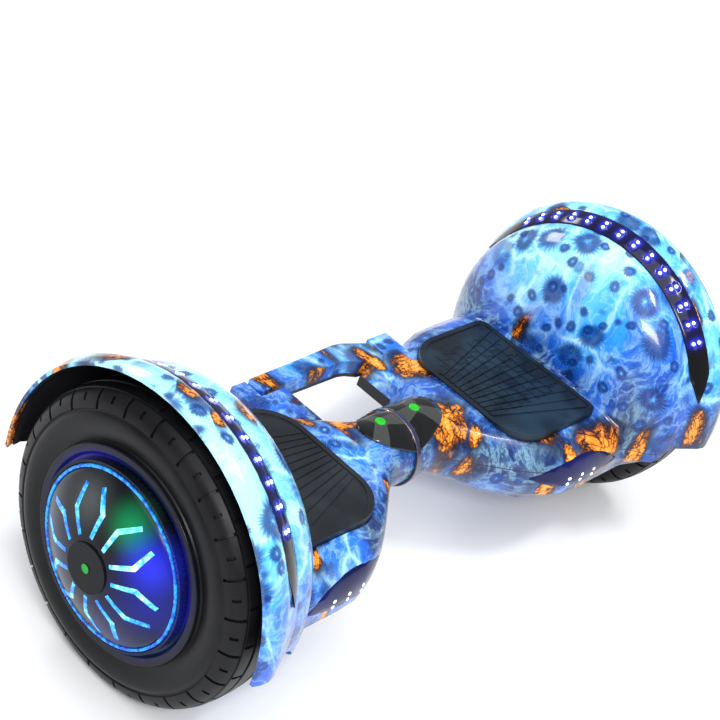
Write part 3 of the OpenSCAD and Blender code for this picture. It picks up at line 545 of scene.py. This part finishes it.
def cover_material():
    """Black gloss with a grey three-armed panel around the indicator."""
    material, g, b, p = start("pivot_gloss_black")
    low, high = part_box("right_indicator_window")
    x, y, z = g.parts(p)
    u = g.minus(g.size(x), (low.x + high.x) / 2)
    v = g.minus(y, (low.y + high.y) / 2)
    turn = g.minus(g.math("ARCTAN2", v, u), math.radians(72))
    arm = g.math("DIVIDE", 0.0145, g.minus(1.12, g.math("COSINE", g.product(turn, 3.0))))
    grey = g.remap(g.minus(arm, g.length(u, v)), -0.0003, 0.0005)
    grain(g, b, p, 400.0, 0.12, 0.04)
    g.feed(b["Base Color"], g.mix(grey, (0.003, 0.003, 0.004), (0.045, 0.052, 0.048)))
    gloss(b, 0.3, 0.4, 0.04)
    return material


def cap_material():
    """Black cap with a green lamp in its middle."""
    material, g, b, p = start("hub_cap_black")
    x, y, z = g.parts(p)
    arm = about_axle(g, y, z)
    lamp = g.product(g.remap(arm, 0.0039, 0.0036), g.remap(g.size(x), 0.335, 0.336))
    groove = g.remap(g.size(g.minus(arm, 0.0047)), 0.0005, 0.0)
    green = g.mix(g.noise(p, 400.0, 3.0, 0.6), (0.01, 0.36, 0.04), (0.03, 0.55, 0.08))
    out = grain(g, b, p, 900.0, 0.35, 0.06)
    g.feed(b["Base Color"], g.mix(out["Smudge"], (0.003, 0.004, 0.006), (0.006, 0.007, 0.010)))
    emit(g, b, g.mix(lamp, (0.0, 0.0, 0.0), green))
    g.feed(b["Normal"], g.bump(g.minus(out["Height"], g.product(groove, 6.0)), 0.3))
    gloss(b, 0.14)
    return material


def dome_material(side, s):
    """Dark dome with a painted soft sheen above, lit green and blue from its front side."""
    material, g, b, p = start(f"hub_dome_{side}")
    # The first spot is a painted grey-white sheen; the others are the green and blue glow of the lamps behind
    # the dome.
    lamp_glows_and_painted_sheen = (
        (0.022, 0.046, 0.034, (0.075, 0.085, 0.085)),
        (-0.019, 0.052, 0.030, (0.0, 0.30, 0.09)),
        (-0.046, 0.036, 0.036, (0.02, 0.03, 1.0)),
        (-0.056, 0.004, 0.050, (0.002, 0.006, 0.30)),
        (-0.030, -0.045, 0.055, (0.001, 0.004, 0.10)),
        (0.050, -0.02, 0.06, (0.001, 0.008, 0.07)),
    )
    light = (0.0, 0.0, 0.0)
    for y, z, reach, tint in lamp_glows_and_painted_sheen:
        away = g.vector("DISTANCE", p, (s * DOME_X, y, AXLE_Z + z))
        near = g.math("POWER", g.remap(away, reach, 0.0), 1.4)
        light = g.mix(1.0, light, g.mix(near, (0.0, 0.0, 0.0), tint), "ADD")
    # emission: the lamps' glow and the painted sheen
    emit(g, b, light)
    out = grain(g, b, p, 300.0, 0.2, 0.06)
    g.feed(b["Base Color"], g.mix(out["Smudge"], (0.003, 0.004, 0.007), (0.006, 0.008, 0.013)))
    gloss(b, 0.14, 0.08, 0.15)
    return material


def rim_material():
    """Black rim with a painted blue and violet glow of the lit ring on it."""
    material, g, b, p = start("rim_black")
    x, y, z = g.parts(p)
    ring = g.remap(about_axle(g, y, z), 0.087, 0.074)
    outer = g.remap(g.size(x), 0.300, 0.309)
    # painted glow: the lit ring's light on the rim, as emission
    tint = g.mix(g.patches(p, 14.0, 0.40, 0.65), (0.0, 0.012, 0.06), (0.012, 0.010, 0.26))
    emit(g, b, g.mix(g.product(ring, outer), (0.0, 0.0, 0.0), tint), 0.8)
    out = grain(g, b, p, 700.0, 0.3, 0.12)
    g.feed(b["Base Color"], g.mix(out["Smudge"], (0.004, 0.004, 0.007), (0.008, 0.008, 0.014)))
    gloss(b, 0.15, 0.1, 0.12)
    return material


def bar_material():
    """Lit plastic of the bars and the ring: blue to cyan, white where the lamps sit behind."""
    material, g, b, p = start("hub_light_bars")
    x, y, z = g.parts(p)
    flat = g.join(DOME_X, y, z)
    arm = about_axle(g, y, z)
    fleck = g.noise(p, 190.0, 4.0, 0.65)
    hot = g.remap(g.vector("DISTANCE", flat, (DOME_X, -0.034, AXLE_Z + 0.036)), 0.060, 0.010)
    green = g.remap(g.vector("DISTANCE", flat, (DOME_X, -0.017, AXLE_Z + 0.050)), 0.018, 0.004)
    bend = g.remap(g.size(g.minus(arm, 0.045)), 0.012, 0.0)
    colour = g.ramp(g.total(fleck, g.product(hot, 0.20), g.product(bend, 0.10)), [
        (0.34, (0.0, 0.07, 0.62)), (0.48, (0.0, 0.22, 0.95)), (0.58, (0.02, 0.48, 1.0)),
        (0.70, (0.22, 0.85, 1.0)), (0.82, (0.85, 1.0, 1.0)),
    ])
    ring = g.mix(g.remap(fleck, 0.42, 0.60), (0.0, 0.07, 0.55), (0.01, 0.40, 1.0))
    colour = g.mix(g.remap(arm, 0.067, 0.069), colour, ring)
    colour = g.mix(g.product(green, 0.7), colour, (0.12, 1.0, 0.42))
    emit(g, b, colour)
    g.feed(b["Base Color"], g.mix(0.75, colour, (0.0, 0.02, 0.08)))
    b["Roughness"].default_value = 0.25
    return material


# ---------------------------------------------------------------- piece helpers
def place(obj, body, slot, material, *nodes):
    """Gives a piece its material and the body it rides on, and hides the nodes it stands for; the slot
    argument is not used.
    """
    obj.data.materials.clear()
    obj.data.materials.append(material)
    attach(obj, body)
    if nodes:
        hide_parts(*nodes)


def link(name, data):
    obj = bpy.data.objects.new(name, data)
    bpy.context.scene.collection.objects.link(obj)
    return obj


def soften(obj, angle):
    obj.data.shade_smooth()
    obj.data.set_sharp_from_angle(angle=math.radians(angle))


def skin_copy(node, body, slot, material, radius=0.0, segments=2, limit=35.0, flatten=0.4, weighted=True):
    """A clean copy of a CAD node: merged, its flat faces joined, its edges rounded and shaded smooth."""
    mesh = NODES[node].data.copy()
    mesh.name = f"{node}_skin"
    obj = link(f"{node}_skin", mesh)
    bm = bmesh.new()
    bm.from_mesh(mesh)
    bmesh.ops.remove_doubles(bm, verts=bm.verts, dist=2e-6)
    if radius:
        bmesh.ops.dissolve_limit(bm, angle_limit=math.radians(flatten), verts=bm.verts, edges=bm.edges)
    bm.to_mesh(mesh)
    bm.free()
    if radius:
        bevel = obj.modifiers.new("Round", "BEVEL")
        bevel.width = radius
        bevel.segments = segments
        bevel.limit_method = "ANGLE"
        bevel.angle_limit = math.radians(limit)
        bevel.use_clamp_overlap = True
        bevel.harden_normals = False
    soften(obj, limit)
    if weighted:
        obj.modifiers.new("Weighted", "WEIGHTED_NORMAL").keep_sharp = True
    place(obj, body, slot, material, node)


def mesh_piece(bm, name, body, slot, material, *nodes, angle=35.0):
    bmesh.ops.recalc_face_normals(bm, faces=bm.faces)
    mesh = bpy.data.meshes.new(name)
    bm.to_mesh(mesh)
    bm.free()
    obj = link(name, mesh)
    soften(obj, angle)
    place(obj, body, slot, material, *nodes)


def full_spin(bm, height, steps):
    """Spins what is drawn a full turn about a line along X at that height."""
    bmesh.ops.spin(
        bm, geom=bm.verts[:] + bm.edges[:], cent=(0, 0, height), axis=(1, 0, 0), dvec=(0, 0, 0),
        angle=math.tau, steps=steps, use_merge=True, use_duplicate=False,
    )


def sides():
    """Name, sign of x, body of the half and body of the wheel."""
    return (("left", -1.0, "left_half", "left_wheel"), ("right", 1.0, "right_half", "right_wheel"))


# ---------------------------------------------------------------- operators
class BOARD_OT_stage(bpy.types.Operator):
    """Pale floor, soft studio light and the camera"""

    bl_idname = "board.stage"
    bl_label = "Stage"

    def execute(self, context):
        scene = context.scene
        scene.view_settings.view_transform = "Standard"
        self.floor()
        self.world(scene)
        self.lights()
        self.camera(scene)
        return {"FINISHED"}

    def floor(self):
        bm = bmesh.new()
        bmesh.ops.create_grid(bm, x_segments=8, y_segments=8, size=9.0)
        mesh = bpy.data.meshes.new("studio_floor")
        bm.to_mesh(mesh)
        bm.free()
        material, g, b, p = start("studio_paper")
        g.feed(b["Base Color"], g.mix(g.noise(p, 3.0), (0.86, 0.87, 0.88), (0.90, 0.90, 0.90)))
        b["Roughness"].default_value = 0.7
        mesh.materials.append(material)
        floor = link("studio_floor", mesh)

    def world(self, scene):
        world = bpy.data.worlds.new("studio")
        world.use_nodes = True
        background = world.node_tree.nodes["Background"].inputs
        background["Color"].default_value = (0.96, 0.98, 1.0, 1)
        background["Strength"].default_value = 0.42
        scene.world = world

    def lights(self):
        sun = bpy.data.lights.new("overhead_soft", "SUN")
        sun.energy = 1.9
        sun.angle = math.radians(70)
        self.aim(link("overhead_soft", sun), Vector((0.45, 0.25, -1.0)))
        panels = (
            ("key_soft", (-1.1, -1.2, 1.5), (0, 0, 0.12), 0.9, 20),
            ("rim_soft", (0.2, 1.7, 1.2), (0.1, 0, 0.12), 0.9, 12),
            ("top_strip", (0.5, -0.6, 1.8), (0.2, 0, 0.15), 0.5, 10),
        )
        for name, at, target, size, power in panels:
            light = bpy.data.lights.new(name, "AREA")
            light.shape = "RECTANGLE"
            light.size = size
            light.size_y = size * 0.35
            light.energy = power
            obj = link(name, light)
            obj.location = at
            self.aim(obj, Vector(target) - Vector(at))

    def aim(self, obj, way):
        obj.rotation_euler = way.to_track_quat("-Z", "Y").to_euler()

    def camera(self, scene):
        camera = bpy.data.cameras.new("camera")
        camera.lens = 89.47
        camera.sensor_width = 36.0
        camera.clip_start = 0.05
        obj = link("camera", camera)
        at = Vector((-1.0831, -0.6318, 1.0140))
        target = Vector((0.0480, 0.0889, 0.13))
        roll = Matrix.Rotation(math.radians(20.10), 4, "Z")
        turn = (target - at).to_track_quat("-Z", "Y").to_matrix().to_4x4()
        obj.matrix_world = Matrix.Translation(at) @ turn @ roll
        scene.camera = obj


class BOARD_OT_shells(bpy.types.Operator):
    """Printed upper and lower shells of both halves"""

    bl_idname = "board.shells"
    bl_label = "Shells"

    def execute(self, context):
        film = print_film("film_print_shell", seam=True)
        for side, s, half, wheel in sides():
            for part in ("upper_shell", "lower_shell"):
                skin_copy(f"{side}_{part}", half, "printed_shell", film, limit=30.0)
        return {"FINISHED"}


class BOARD_OT_arches(bpy.types.Operator):
    """Black liners, light bands and their light pairs"""

    bl_idname = "board.arches"
    bl_label = "Wheel arches"

    def execute(self, context):
        liner = finish("liner_plastic_moulded", (0.005, 0.005, 0.007), 0.4, 700.0, 0.25, 0.1, specular=0.2)
        band = band_material()
        lamp = glow("band_lamp_glow", (0.8, 0.9, 1.0), (0.35, 0.50, 1.0), 3.0, 0.6, (0.6, 0.75, 1.0), 200.0)
        for side, s, half, wheel in sides():
            skin_copy(f"{side}_arch_liner", half, "matte_black", liner)
            skin_copy(f"{side}_light_band", half, "gloss_black", band, weighted=False)
            skin_copy(f"{side}_band_lights", half, "white_light", lamp)
        return {"FINISHED"}


class BOARD_OT_headlights(bpy.types.Operator):
    """Dark blue lenses with their light dots, and the boards behind them"""

    bl_idname = "board.headlights"
    bl_label = "Headlights"

    def execute(self, context):
        lens = finish("headlight_blue_moulded", (0.002, 0.003, 0.05), 0.16, 300.0, 0.0, 0.03, coat=0.15,
                      second=(0.003, 0.005, 0.09), coat_rough=0.06, specular=0.2)
        board = finish("solder_mask_moulded", (0.01, 0.12, 0.05), 0.35, 400.0, 0.05)
        lamp = glow("headlight_lamp_glow", (0.8, 0.85, 1.0), colours().lamp, 1.9, 0.5, (0.7, 0.8, 1.0), 300.0)
        for side, s, half, wheel in sides():
            skin_copy(f"{side}_headlight_lens", half, "lens_blue", lens, limit=50.0)
            skin_copy(f"{side}_headlight_board", half, "circuit_board", board, radius=0.0002)
            dots = self.dots(f"{side}_headlight_lens", s)
            mesh_piece(dots, f"{side}_headlight_dots", half, "white_light", lamp)
        return {"FINISHED"}

    def dots(self, lens, s):
        """Six flat round dots that lie on the lens."""
        mesh = NODES[lens].data
        tree = BVHTree.FromPolygons([v.co for v in mesh.vertices], [p.vertices for p in mesh.polygons])
        flat = Matrix.Diagonal((1, 1, 0.35, 1))
        bm = bmesh.new()
        for x in DOT_X:
            for z in DOT_Z:
                point, normal, _, _ = tree.ray_cast(Vector((s * x, -0.5, z)), Vector((0, 1, 0)))
                turn = Vector((0, 0, 1)).rotation_difference(normal).to_matrix().to_4x4()
                matrix = Matrix.Translation(point + normal * 0.0001) @ turn @ flat
                bmesh.ops.create_uvsphere(
                    bm, u_segments=20, v_segments=10, radius=sizes().lamp_radius, matrix=matrix,
                )
        return bm


class BOARD_OT_pads(bpy.types.Operator):
    """Ribbed rubber foot pads"""

    bl_idname = "board.pads"
    bl_label = "Foot pads"

    def execute(self, context):
        plain = finish("pad_rubber_moulded", (0.010, 0.012, 0.015), 0.38, 1200.0, 0.25, 0.16,
                       second=(0.020, 0.024, 0.030), specular=0.3)
        skin_copy("left_foot_pad", "left_pad", "pad_rubber", plain, radius=0.0004)
        skin_copy("right_foot_pad", "right_pad", "pad_rubber", notched_material(), radius=0.0004)
        return {"FINISHED"}


class BOARD_OT_pivot(bpy.types.Operator):
    """Black collar, its indicators and the ring in the seam"""

    bl_idname = "board.pivot"
    bl_label = "Centre pivot"

    def execute(self, context):
        cover = cover_material()
        ring = finish("pivot_ring_blue_moulded", (0.006, 0.012, 0.05), 0.12, 300.0, 0.0, 0.03, coat=1.0,
                      second=(0.01, 0.02, 0.09))
        edge = finish("ring_copper_moulded", (0.75, 0.30, 0.05), 0.22, 300.0, 0.03, 0.05, 0.6, 0.6,
                      second=(0.95, 0.5, 0.12))
        signal = colours().signal
        lamp = glow("indicator_green_glow", (0.01, 0.3, 0.01), signal, 0.45, 0.5, (0.0, 0.45, 0.01), 300.0)
        for side, s, half, wheel in sides():
            skin_copy(f"{side}_pivot_cover", half, "gloss_black", cover, limit=60.0)
            skin_copy(f"{side}_indicator_window", half, "white_light", lamp, radius=0.0003)
        skin_copy("pivot_ring", "left_half", "orange_ring", ring, radius=0.0009, segments=3)
        mesh_piece(self.edge_line(), "pivot_ring_edge", "left_half", "orange_ring", edge)
        return {"FINISHED"}

    def edge_line(self):
        """Thin copper hoop at the left edge of the ring."""
        wire = 0.0006
        at = (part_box("pivot_ring")[0].x + 0.0008, 0, PIVOT_Z + PIVOT_R - wire)
        matrix = Matrix.Translation(at) @ Matrix.Rotation(math.pi / 2, 4, "X")
        bm = bmesh.new()
        bmesh.ops.create_circle(bm, segments=8, radius=wire, matrix=matrix)
        full_spin(bm, PIVOT_Z, 96)
        return bm


class BOARD_OT_handle(bpy.types.Operator):
    """Printed handle bar with a black underside, and its brackets and pins"""

    bl_idname = "board.handle"
    bl_label = "Handle"

    def execute(self, context):
        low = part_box("handle_bar")[0].z
        film = print_film("film_print_handle", 0.0, 1.3, low + 0.004, coat_rough=0.2)
        blocks = {
            "left": print_film("film_print_left_bracket", -0.02, 0.6, low - 0.006, coat_rough=0.2),
            "right": print_film("film_print_right_bracket", -0.04, 0.6, low + 0.002, coat_rough=0.2),
        }
        steel = finish("pin_steel_moulded", (0.45, 0.45, 0.47), 0.3, 600.0, 0.05, 0.1, 1.0)
        r = sizes().handle_radius
        skin_copy("handle_bar", "handle", "printed_shell", film, radius=r, segments=4, flatten=1.0)
        for side, s, half, wheel in sides():
            skin_copy(f"{side}_handle_bracket", half, "printed_shell", blocks[side], radius=r * 0.6,
                      segments=3, limit=50.0, flatten=1.0)
            skin_copy(f"{side}_handle_pin", half, "steel", steel, radius=0.0004)
        return {"FINISHED"}


class BOARD_OT_tyres(bpy.types.Operator):
    """Tyres with a grooved tread"""

    bl_idname = "board.tyres"
    bl_label = "Tyres"

    def execute(self, context):
        rubber = finish("tyre_rubber_moulded", (0.004, 0.004, 0.005), 0.40, 1500.0, 0.5, 0.18,
                        second=(0.008, 0.008, 0.009), specular=0.2)
        for side, s, half, wheel in sides():
            name = f"{side}_tyre"
            mesh_piece(self.tyre(s), f"{name}_tread", wheel, "tyre_rubber", rubber, name, angle=28.0)
        return {"FINISHED"}

    def section(self):
        """Outline of the rubber: half of the tread, one sidewall and the inside, then the other half."""
        w, r, bead = TYRE_HALF_W, TYRE_R, RIM_R - 0.0045
        tread = [
            (0.0, r), (0.0062, r), (0.0068, r - 0.0024), (0.0086, r - 0.0024), (0.0092, r - 0.0002),
            (0.0140, r - 0.0007), (0.0176, r - 0.0016), (0.0180, r - 0.0030), (0.0190, r - 0.0031),
            (0.0194, r - 0.0022), (w - 0.0080, r - 0.0044), (w - 0.0058, r - 0.0066),
        ]
        sidewall = [
            (w - 0.0040, r - 0.0096), (w - 0.0028, r - 0.0128), (w - 0.0022, r - 0.0152),
            (w - 0.0030, r - 0.0160), (w - 0.0028, r - 0.0170), (w - 0.0012, r - 0.0186),
            (w - 0.0003, r - 0.0215), (w - 0.0001, r - 0.0250), (w - 0.0005, r - 0.0290),
            (w - 0.0016, r - 0.0330), (w - 0.0034, bead + 0.0074), (w - 0.0036, bead + 0.0060),
            (w - 0.0024, bead + 0.0052), (w - 0.0026, bead + 0.0040), (w - 0.0054, bead + 0.0030),
        ]
        inside = [
            (w - 0.0054, bead + 0.0002), (w - 0.0140, bead + 0.0002), (w - 0.0140, bead + 0.0080),
            (w - 0.0085, bead + 0.0140), (w - 0.0085, r - 0.0200), (w - 0.0125, r - 0.0120),
            (0.0, r - 0.0080),
        ]
        half = tread + sidewall + inside
        return half + [(-x, y) for x, y in half[-2:0:-1]]

    def tyre(self, s):
        """The section, spun about the axle and then grooved."""
        bm = bmesh.new()
        verts = [bm.verts.new((s * (TYRE_X + x), 0.0, AXLE_Z + y)) for x, y in self.section()]
        for a, b in zip(verts, verts[1:] + verts[:1]):
            bm.edges.new((a, b))
        steps = sizes().tread_grooves * STEPS_PER_GROOVE
        full_spin(bm, AXLE_Z, steps)
        bmesh.ops.remove_doubles(bm, verts=bm.verts, dist=1e-6)
        bmesh.ops.recalc_face_normals(bm, faces=bm.faces)
        grooved = [f for f in bm.faces if self.is_groove(f, s, steps)]
        new = bmesh.ops.extrude_face_region(bm, geom=grooved)["geom"]
        for v in (g for g in new if isinstance(g, bmesh.types.BMVert)):
            self.sink(v, s)
        bmesh.ops.delete(bm, geom=[f for f in grooved if f.is_valid], context="FACES")
        return bm

    def is_groove(self, face, s, steps):
        """Whether a face belongs to a long, a short or an inner cross groove."""
        c = face.calc_center_median()
        out = Vector((0, c.y, c.z - AXLE_Z))
        dx = s * c.x - TYRE_X
        shift = 0 if dx > 0 else STEPS_PER_GROOVE // 2
        turn = (math.atan2(c.y, c.z - AXLE_Z) % math.tau) / math.tau
        step = (int(turn * steps) + shift) % STEPS_PER_GROOVE
        below = TYRE_R - out.length
        shoulder = abs(dx) > SHOULDER_X
        if shoulder and below < 0.0152 and face.normal.dot(out.normalized()) > -0.1 and step == 0:
            return True
        if shoulder and 0.0040 < below < 0.0102 and step == 6:
            return True
        return 0.0093 < abs(dx) < 0.0177 and below < 0.0020 and step == 3

    def sink(self, v, s):
        """Moves a vertex to the bottom of its groove, which grows shallow down the shoulder."""
        out = Vector((0, v.co.y, v.co.z - AXLE_Z))
        slope = min(1.0, max(0.0, (TYRE_R - out.length) / 0.012))
        v.co -= out.normalized() * sizes().tread_depth * (1.0 - 0.6 * slope)
        v.co.x -= math.copysign(0.0016 * slope, s * v.co.x - TYRE_X) * s


class BOARD_OT_wheels(bpy.types.Operator):
    """Rims, motor covers, lit hub covers, caps and bearings"""

    bl_idname = "board.wheels"
    bl_label = "Wheels"

    def execute(self, context):
        r = sizes().edge_radius
        rim = rim_material()
        motor = finish("motor_cover_paint_moulded", (0.015, 0.015, 0.017), 0.45, 900.0, 0.3, 0.1, 0.2)
        cap = cap_material()
        steel = finish("bearing_steel_moulded", (0.5, 0.5, 0.52), 0.25, 600.0, 0.04, 0.1, 1.0)
        bars = bar_material()
        for side, s, half, wheel in sides():
            dome = dome_material(side, s)
            skin_copy(f"{side}_rim", wheel, "dark_alloy", rim, radius=r, segments=3)
            skin_copy(f"{side}_motor_cover", wheel, "dark_alloy", motor, radius=r)
            skin_copy(f"{side}_hub_cover", wheel, "hub_dark", dome, weighted=False)
            skin_copy(f"{side}_light_guide", wheel, "white_light", bars, weighted=False)
            skin_copy(f"{side}_hub_cap", wheel, "hub_dark", cap, radius=0.0006, segments=3)
            skin_copy(f"{side}_wheel_bearings", wheel, "steel", steel, radius=0.0004)
        return {"FINISHED"}


class BOARD_OT_electrics(bpy.types.Operator):
    """Charging socket with its cap, and the power button"""

    bl_idname = "board.electrics"
    bl_label = "Electrics"

    def execute(self, context):
        socket = finish("socket_plastic_moulded", (0.02, 0.02, 0.022), 0.4, 800.0, 0.15)
        rubber = finish("cap_rubber_moulded", (0.018, 0.018, 0.018), 0.6, 1200.0, 0.2, 0.12)
        red = finish("button_red_moulded", (0.4, 0.012, 0.01), 0.25, 500.0, 0.05, 0.05, coat=0.6)
        skin_copy("charge_socket", "left_half", "matte_black", socket, radius=0.0005)
        skin_copy("charge_cap", "cap", "cap_rubber", rubber, radius=0.0005)
        skin_copy("power_button", "button", "button_plastic", red, radius=0.0009, segments=3)
        return {"FINISHED"}


class BOARD_OT_insides(bpy.types.Operator):
    """Castings, axles, motors, boards, battery and fasteners inside the shells"""

    bl_idname = "board.insides"
    bl_label = "Insides"

    def execute(self, context):
        r = sizes().edge_radius
        cast = finish("cast_alloy_moulded", (0.52, 0.53, 0.55), 0.42, 700.0, 0.3, 0.15, 0.9)
        steel = finish("machined_steel_moulded", (0.45, 0.45, 0.47), 0.28, 500.0, 0.08, 0.12, 1.0)
        copper = finish("motor_winding_moulded", (0.6, 0.22, 0.06), 0.35, 500.0, 0.3, 0.1, 0.8)
        board = finish("solder_mask_moulded", (0.01, 0.12, 0.05), 0.35, 400.0, 0.05)
        natural = finish("bush_plastic_moulded", (0.75, 0.72, 0.62), 0.4, 700.0, 0.1)
        wrap = finish("battery_film_moulded", (0.03, 0.09, 0.4), 0.3, 300.0, 0.15, 0.1, coat=0.3)
        skin_copy("pivot_tube", "left_half", "steel", steel, radius=0.0006)
        skin_copy("pivot_bushes", "right_half", "bush_plastic", natural, radius=0.0004)
        skin_copy("main_board", "left_half", "circuit_board", board, radius=0.0003)
        skin_copy("battery_pack", "right_half", "battery_wrap", wrap, radius=0.003)
        for side, s, half, wheel in sides():
            skin_copy(f"{side}_chassis", half, "cast_alloy", cast, radius=r)
            skin_copy(f"{side}_axle_clamp", half, "cast_alloy", cast, radius=r)
            skin_copy(f"{side}_axle", half, "steel", steel, radius=0.0006)
            skin_copy(f"{side}_stator", half, "winding", copper, radius=0.0006)
            skin_copy(f"{side}_sensor_board", half, "circuit_board", board, radius=0.0003)
            skin_copy(f"{side}_shell_screws", half, "steel", steel, radius=0.0004)
        return {"FINISHED"}


OPERATORS = (
    BOARD_OT_stage, BOARD_OT_shells, BOARD_OT_arches, BOARD_OT_headlights, BOARD_OT_pads, BOARD_OT_pivot,
    BOARD_OT_handle, BOARD_OT_tyres, BOARD_OT_wheels, BOARD_OT_electrics, BOARD_OT_insides,
)


class BOARD_PT_panel(bpy.types.Panel):
    """Sidebar panel that builds the board piece by piece"""

    bl_label = "Self balancing board"
    bl_idname = "BOARD_PT_panel"
    bl_space_type = "VIEW_3D"
    bl_region_type = "UI"
    bl_category = "Board"

    def draw(self, context):
        column = self.layout.column()
        for settings in (context.scene.board_sizes, context.scene.board_colours):
            for name in settings.bl_rna.properties.keys():
                if name not in ("rna_type", "name"):
                    column.prop(settings, name)
        for operator in OPERATORS:
            column.operator(operator.bl_idname)


CLASSES = (BoardSizes, BoardColours) + OPERATORS + (BOARD_PT_panel,)


def register():
    for c in CLASSES:
        bpy.utils.register_class(c)
    bpy.types.Scene.board_sizes = PointerProperty(type=BoardSizes)
    bpy.types.Scene.board_colours = PointerProperty(type=BoardColours)


def unregister():
    del bpy.types.Scene.board_colours
    del bpy.types.Scene.board_sizes
    for c in reversed(CLASSES):
        bpy.utils.unregister_class(c)


def main():
    register()
    for operator in OPERATORS:
        getattr(bpy.ops.board, operator.bl_idname.split(".")[1])()


if __name__ == "__main__":
    main()
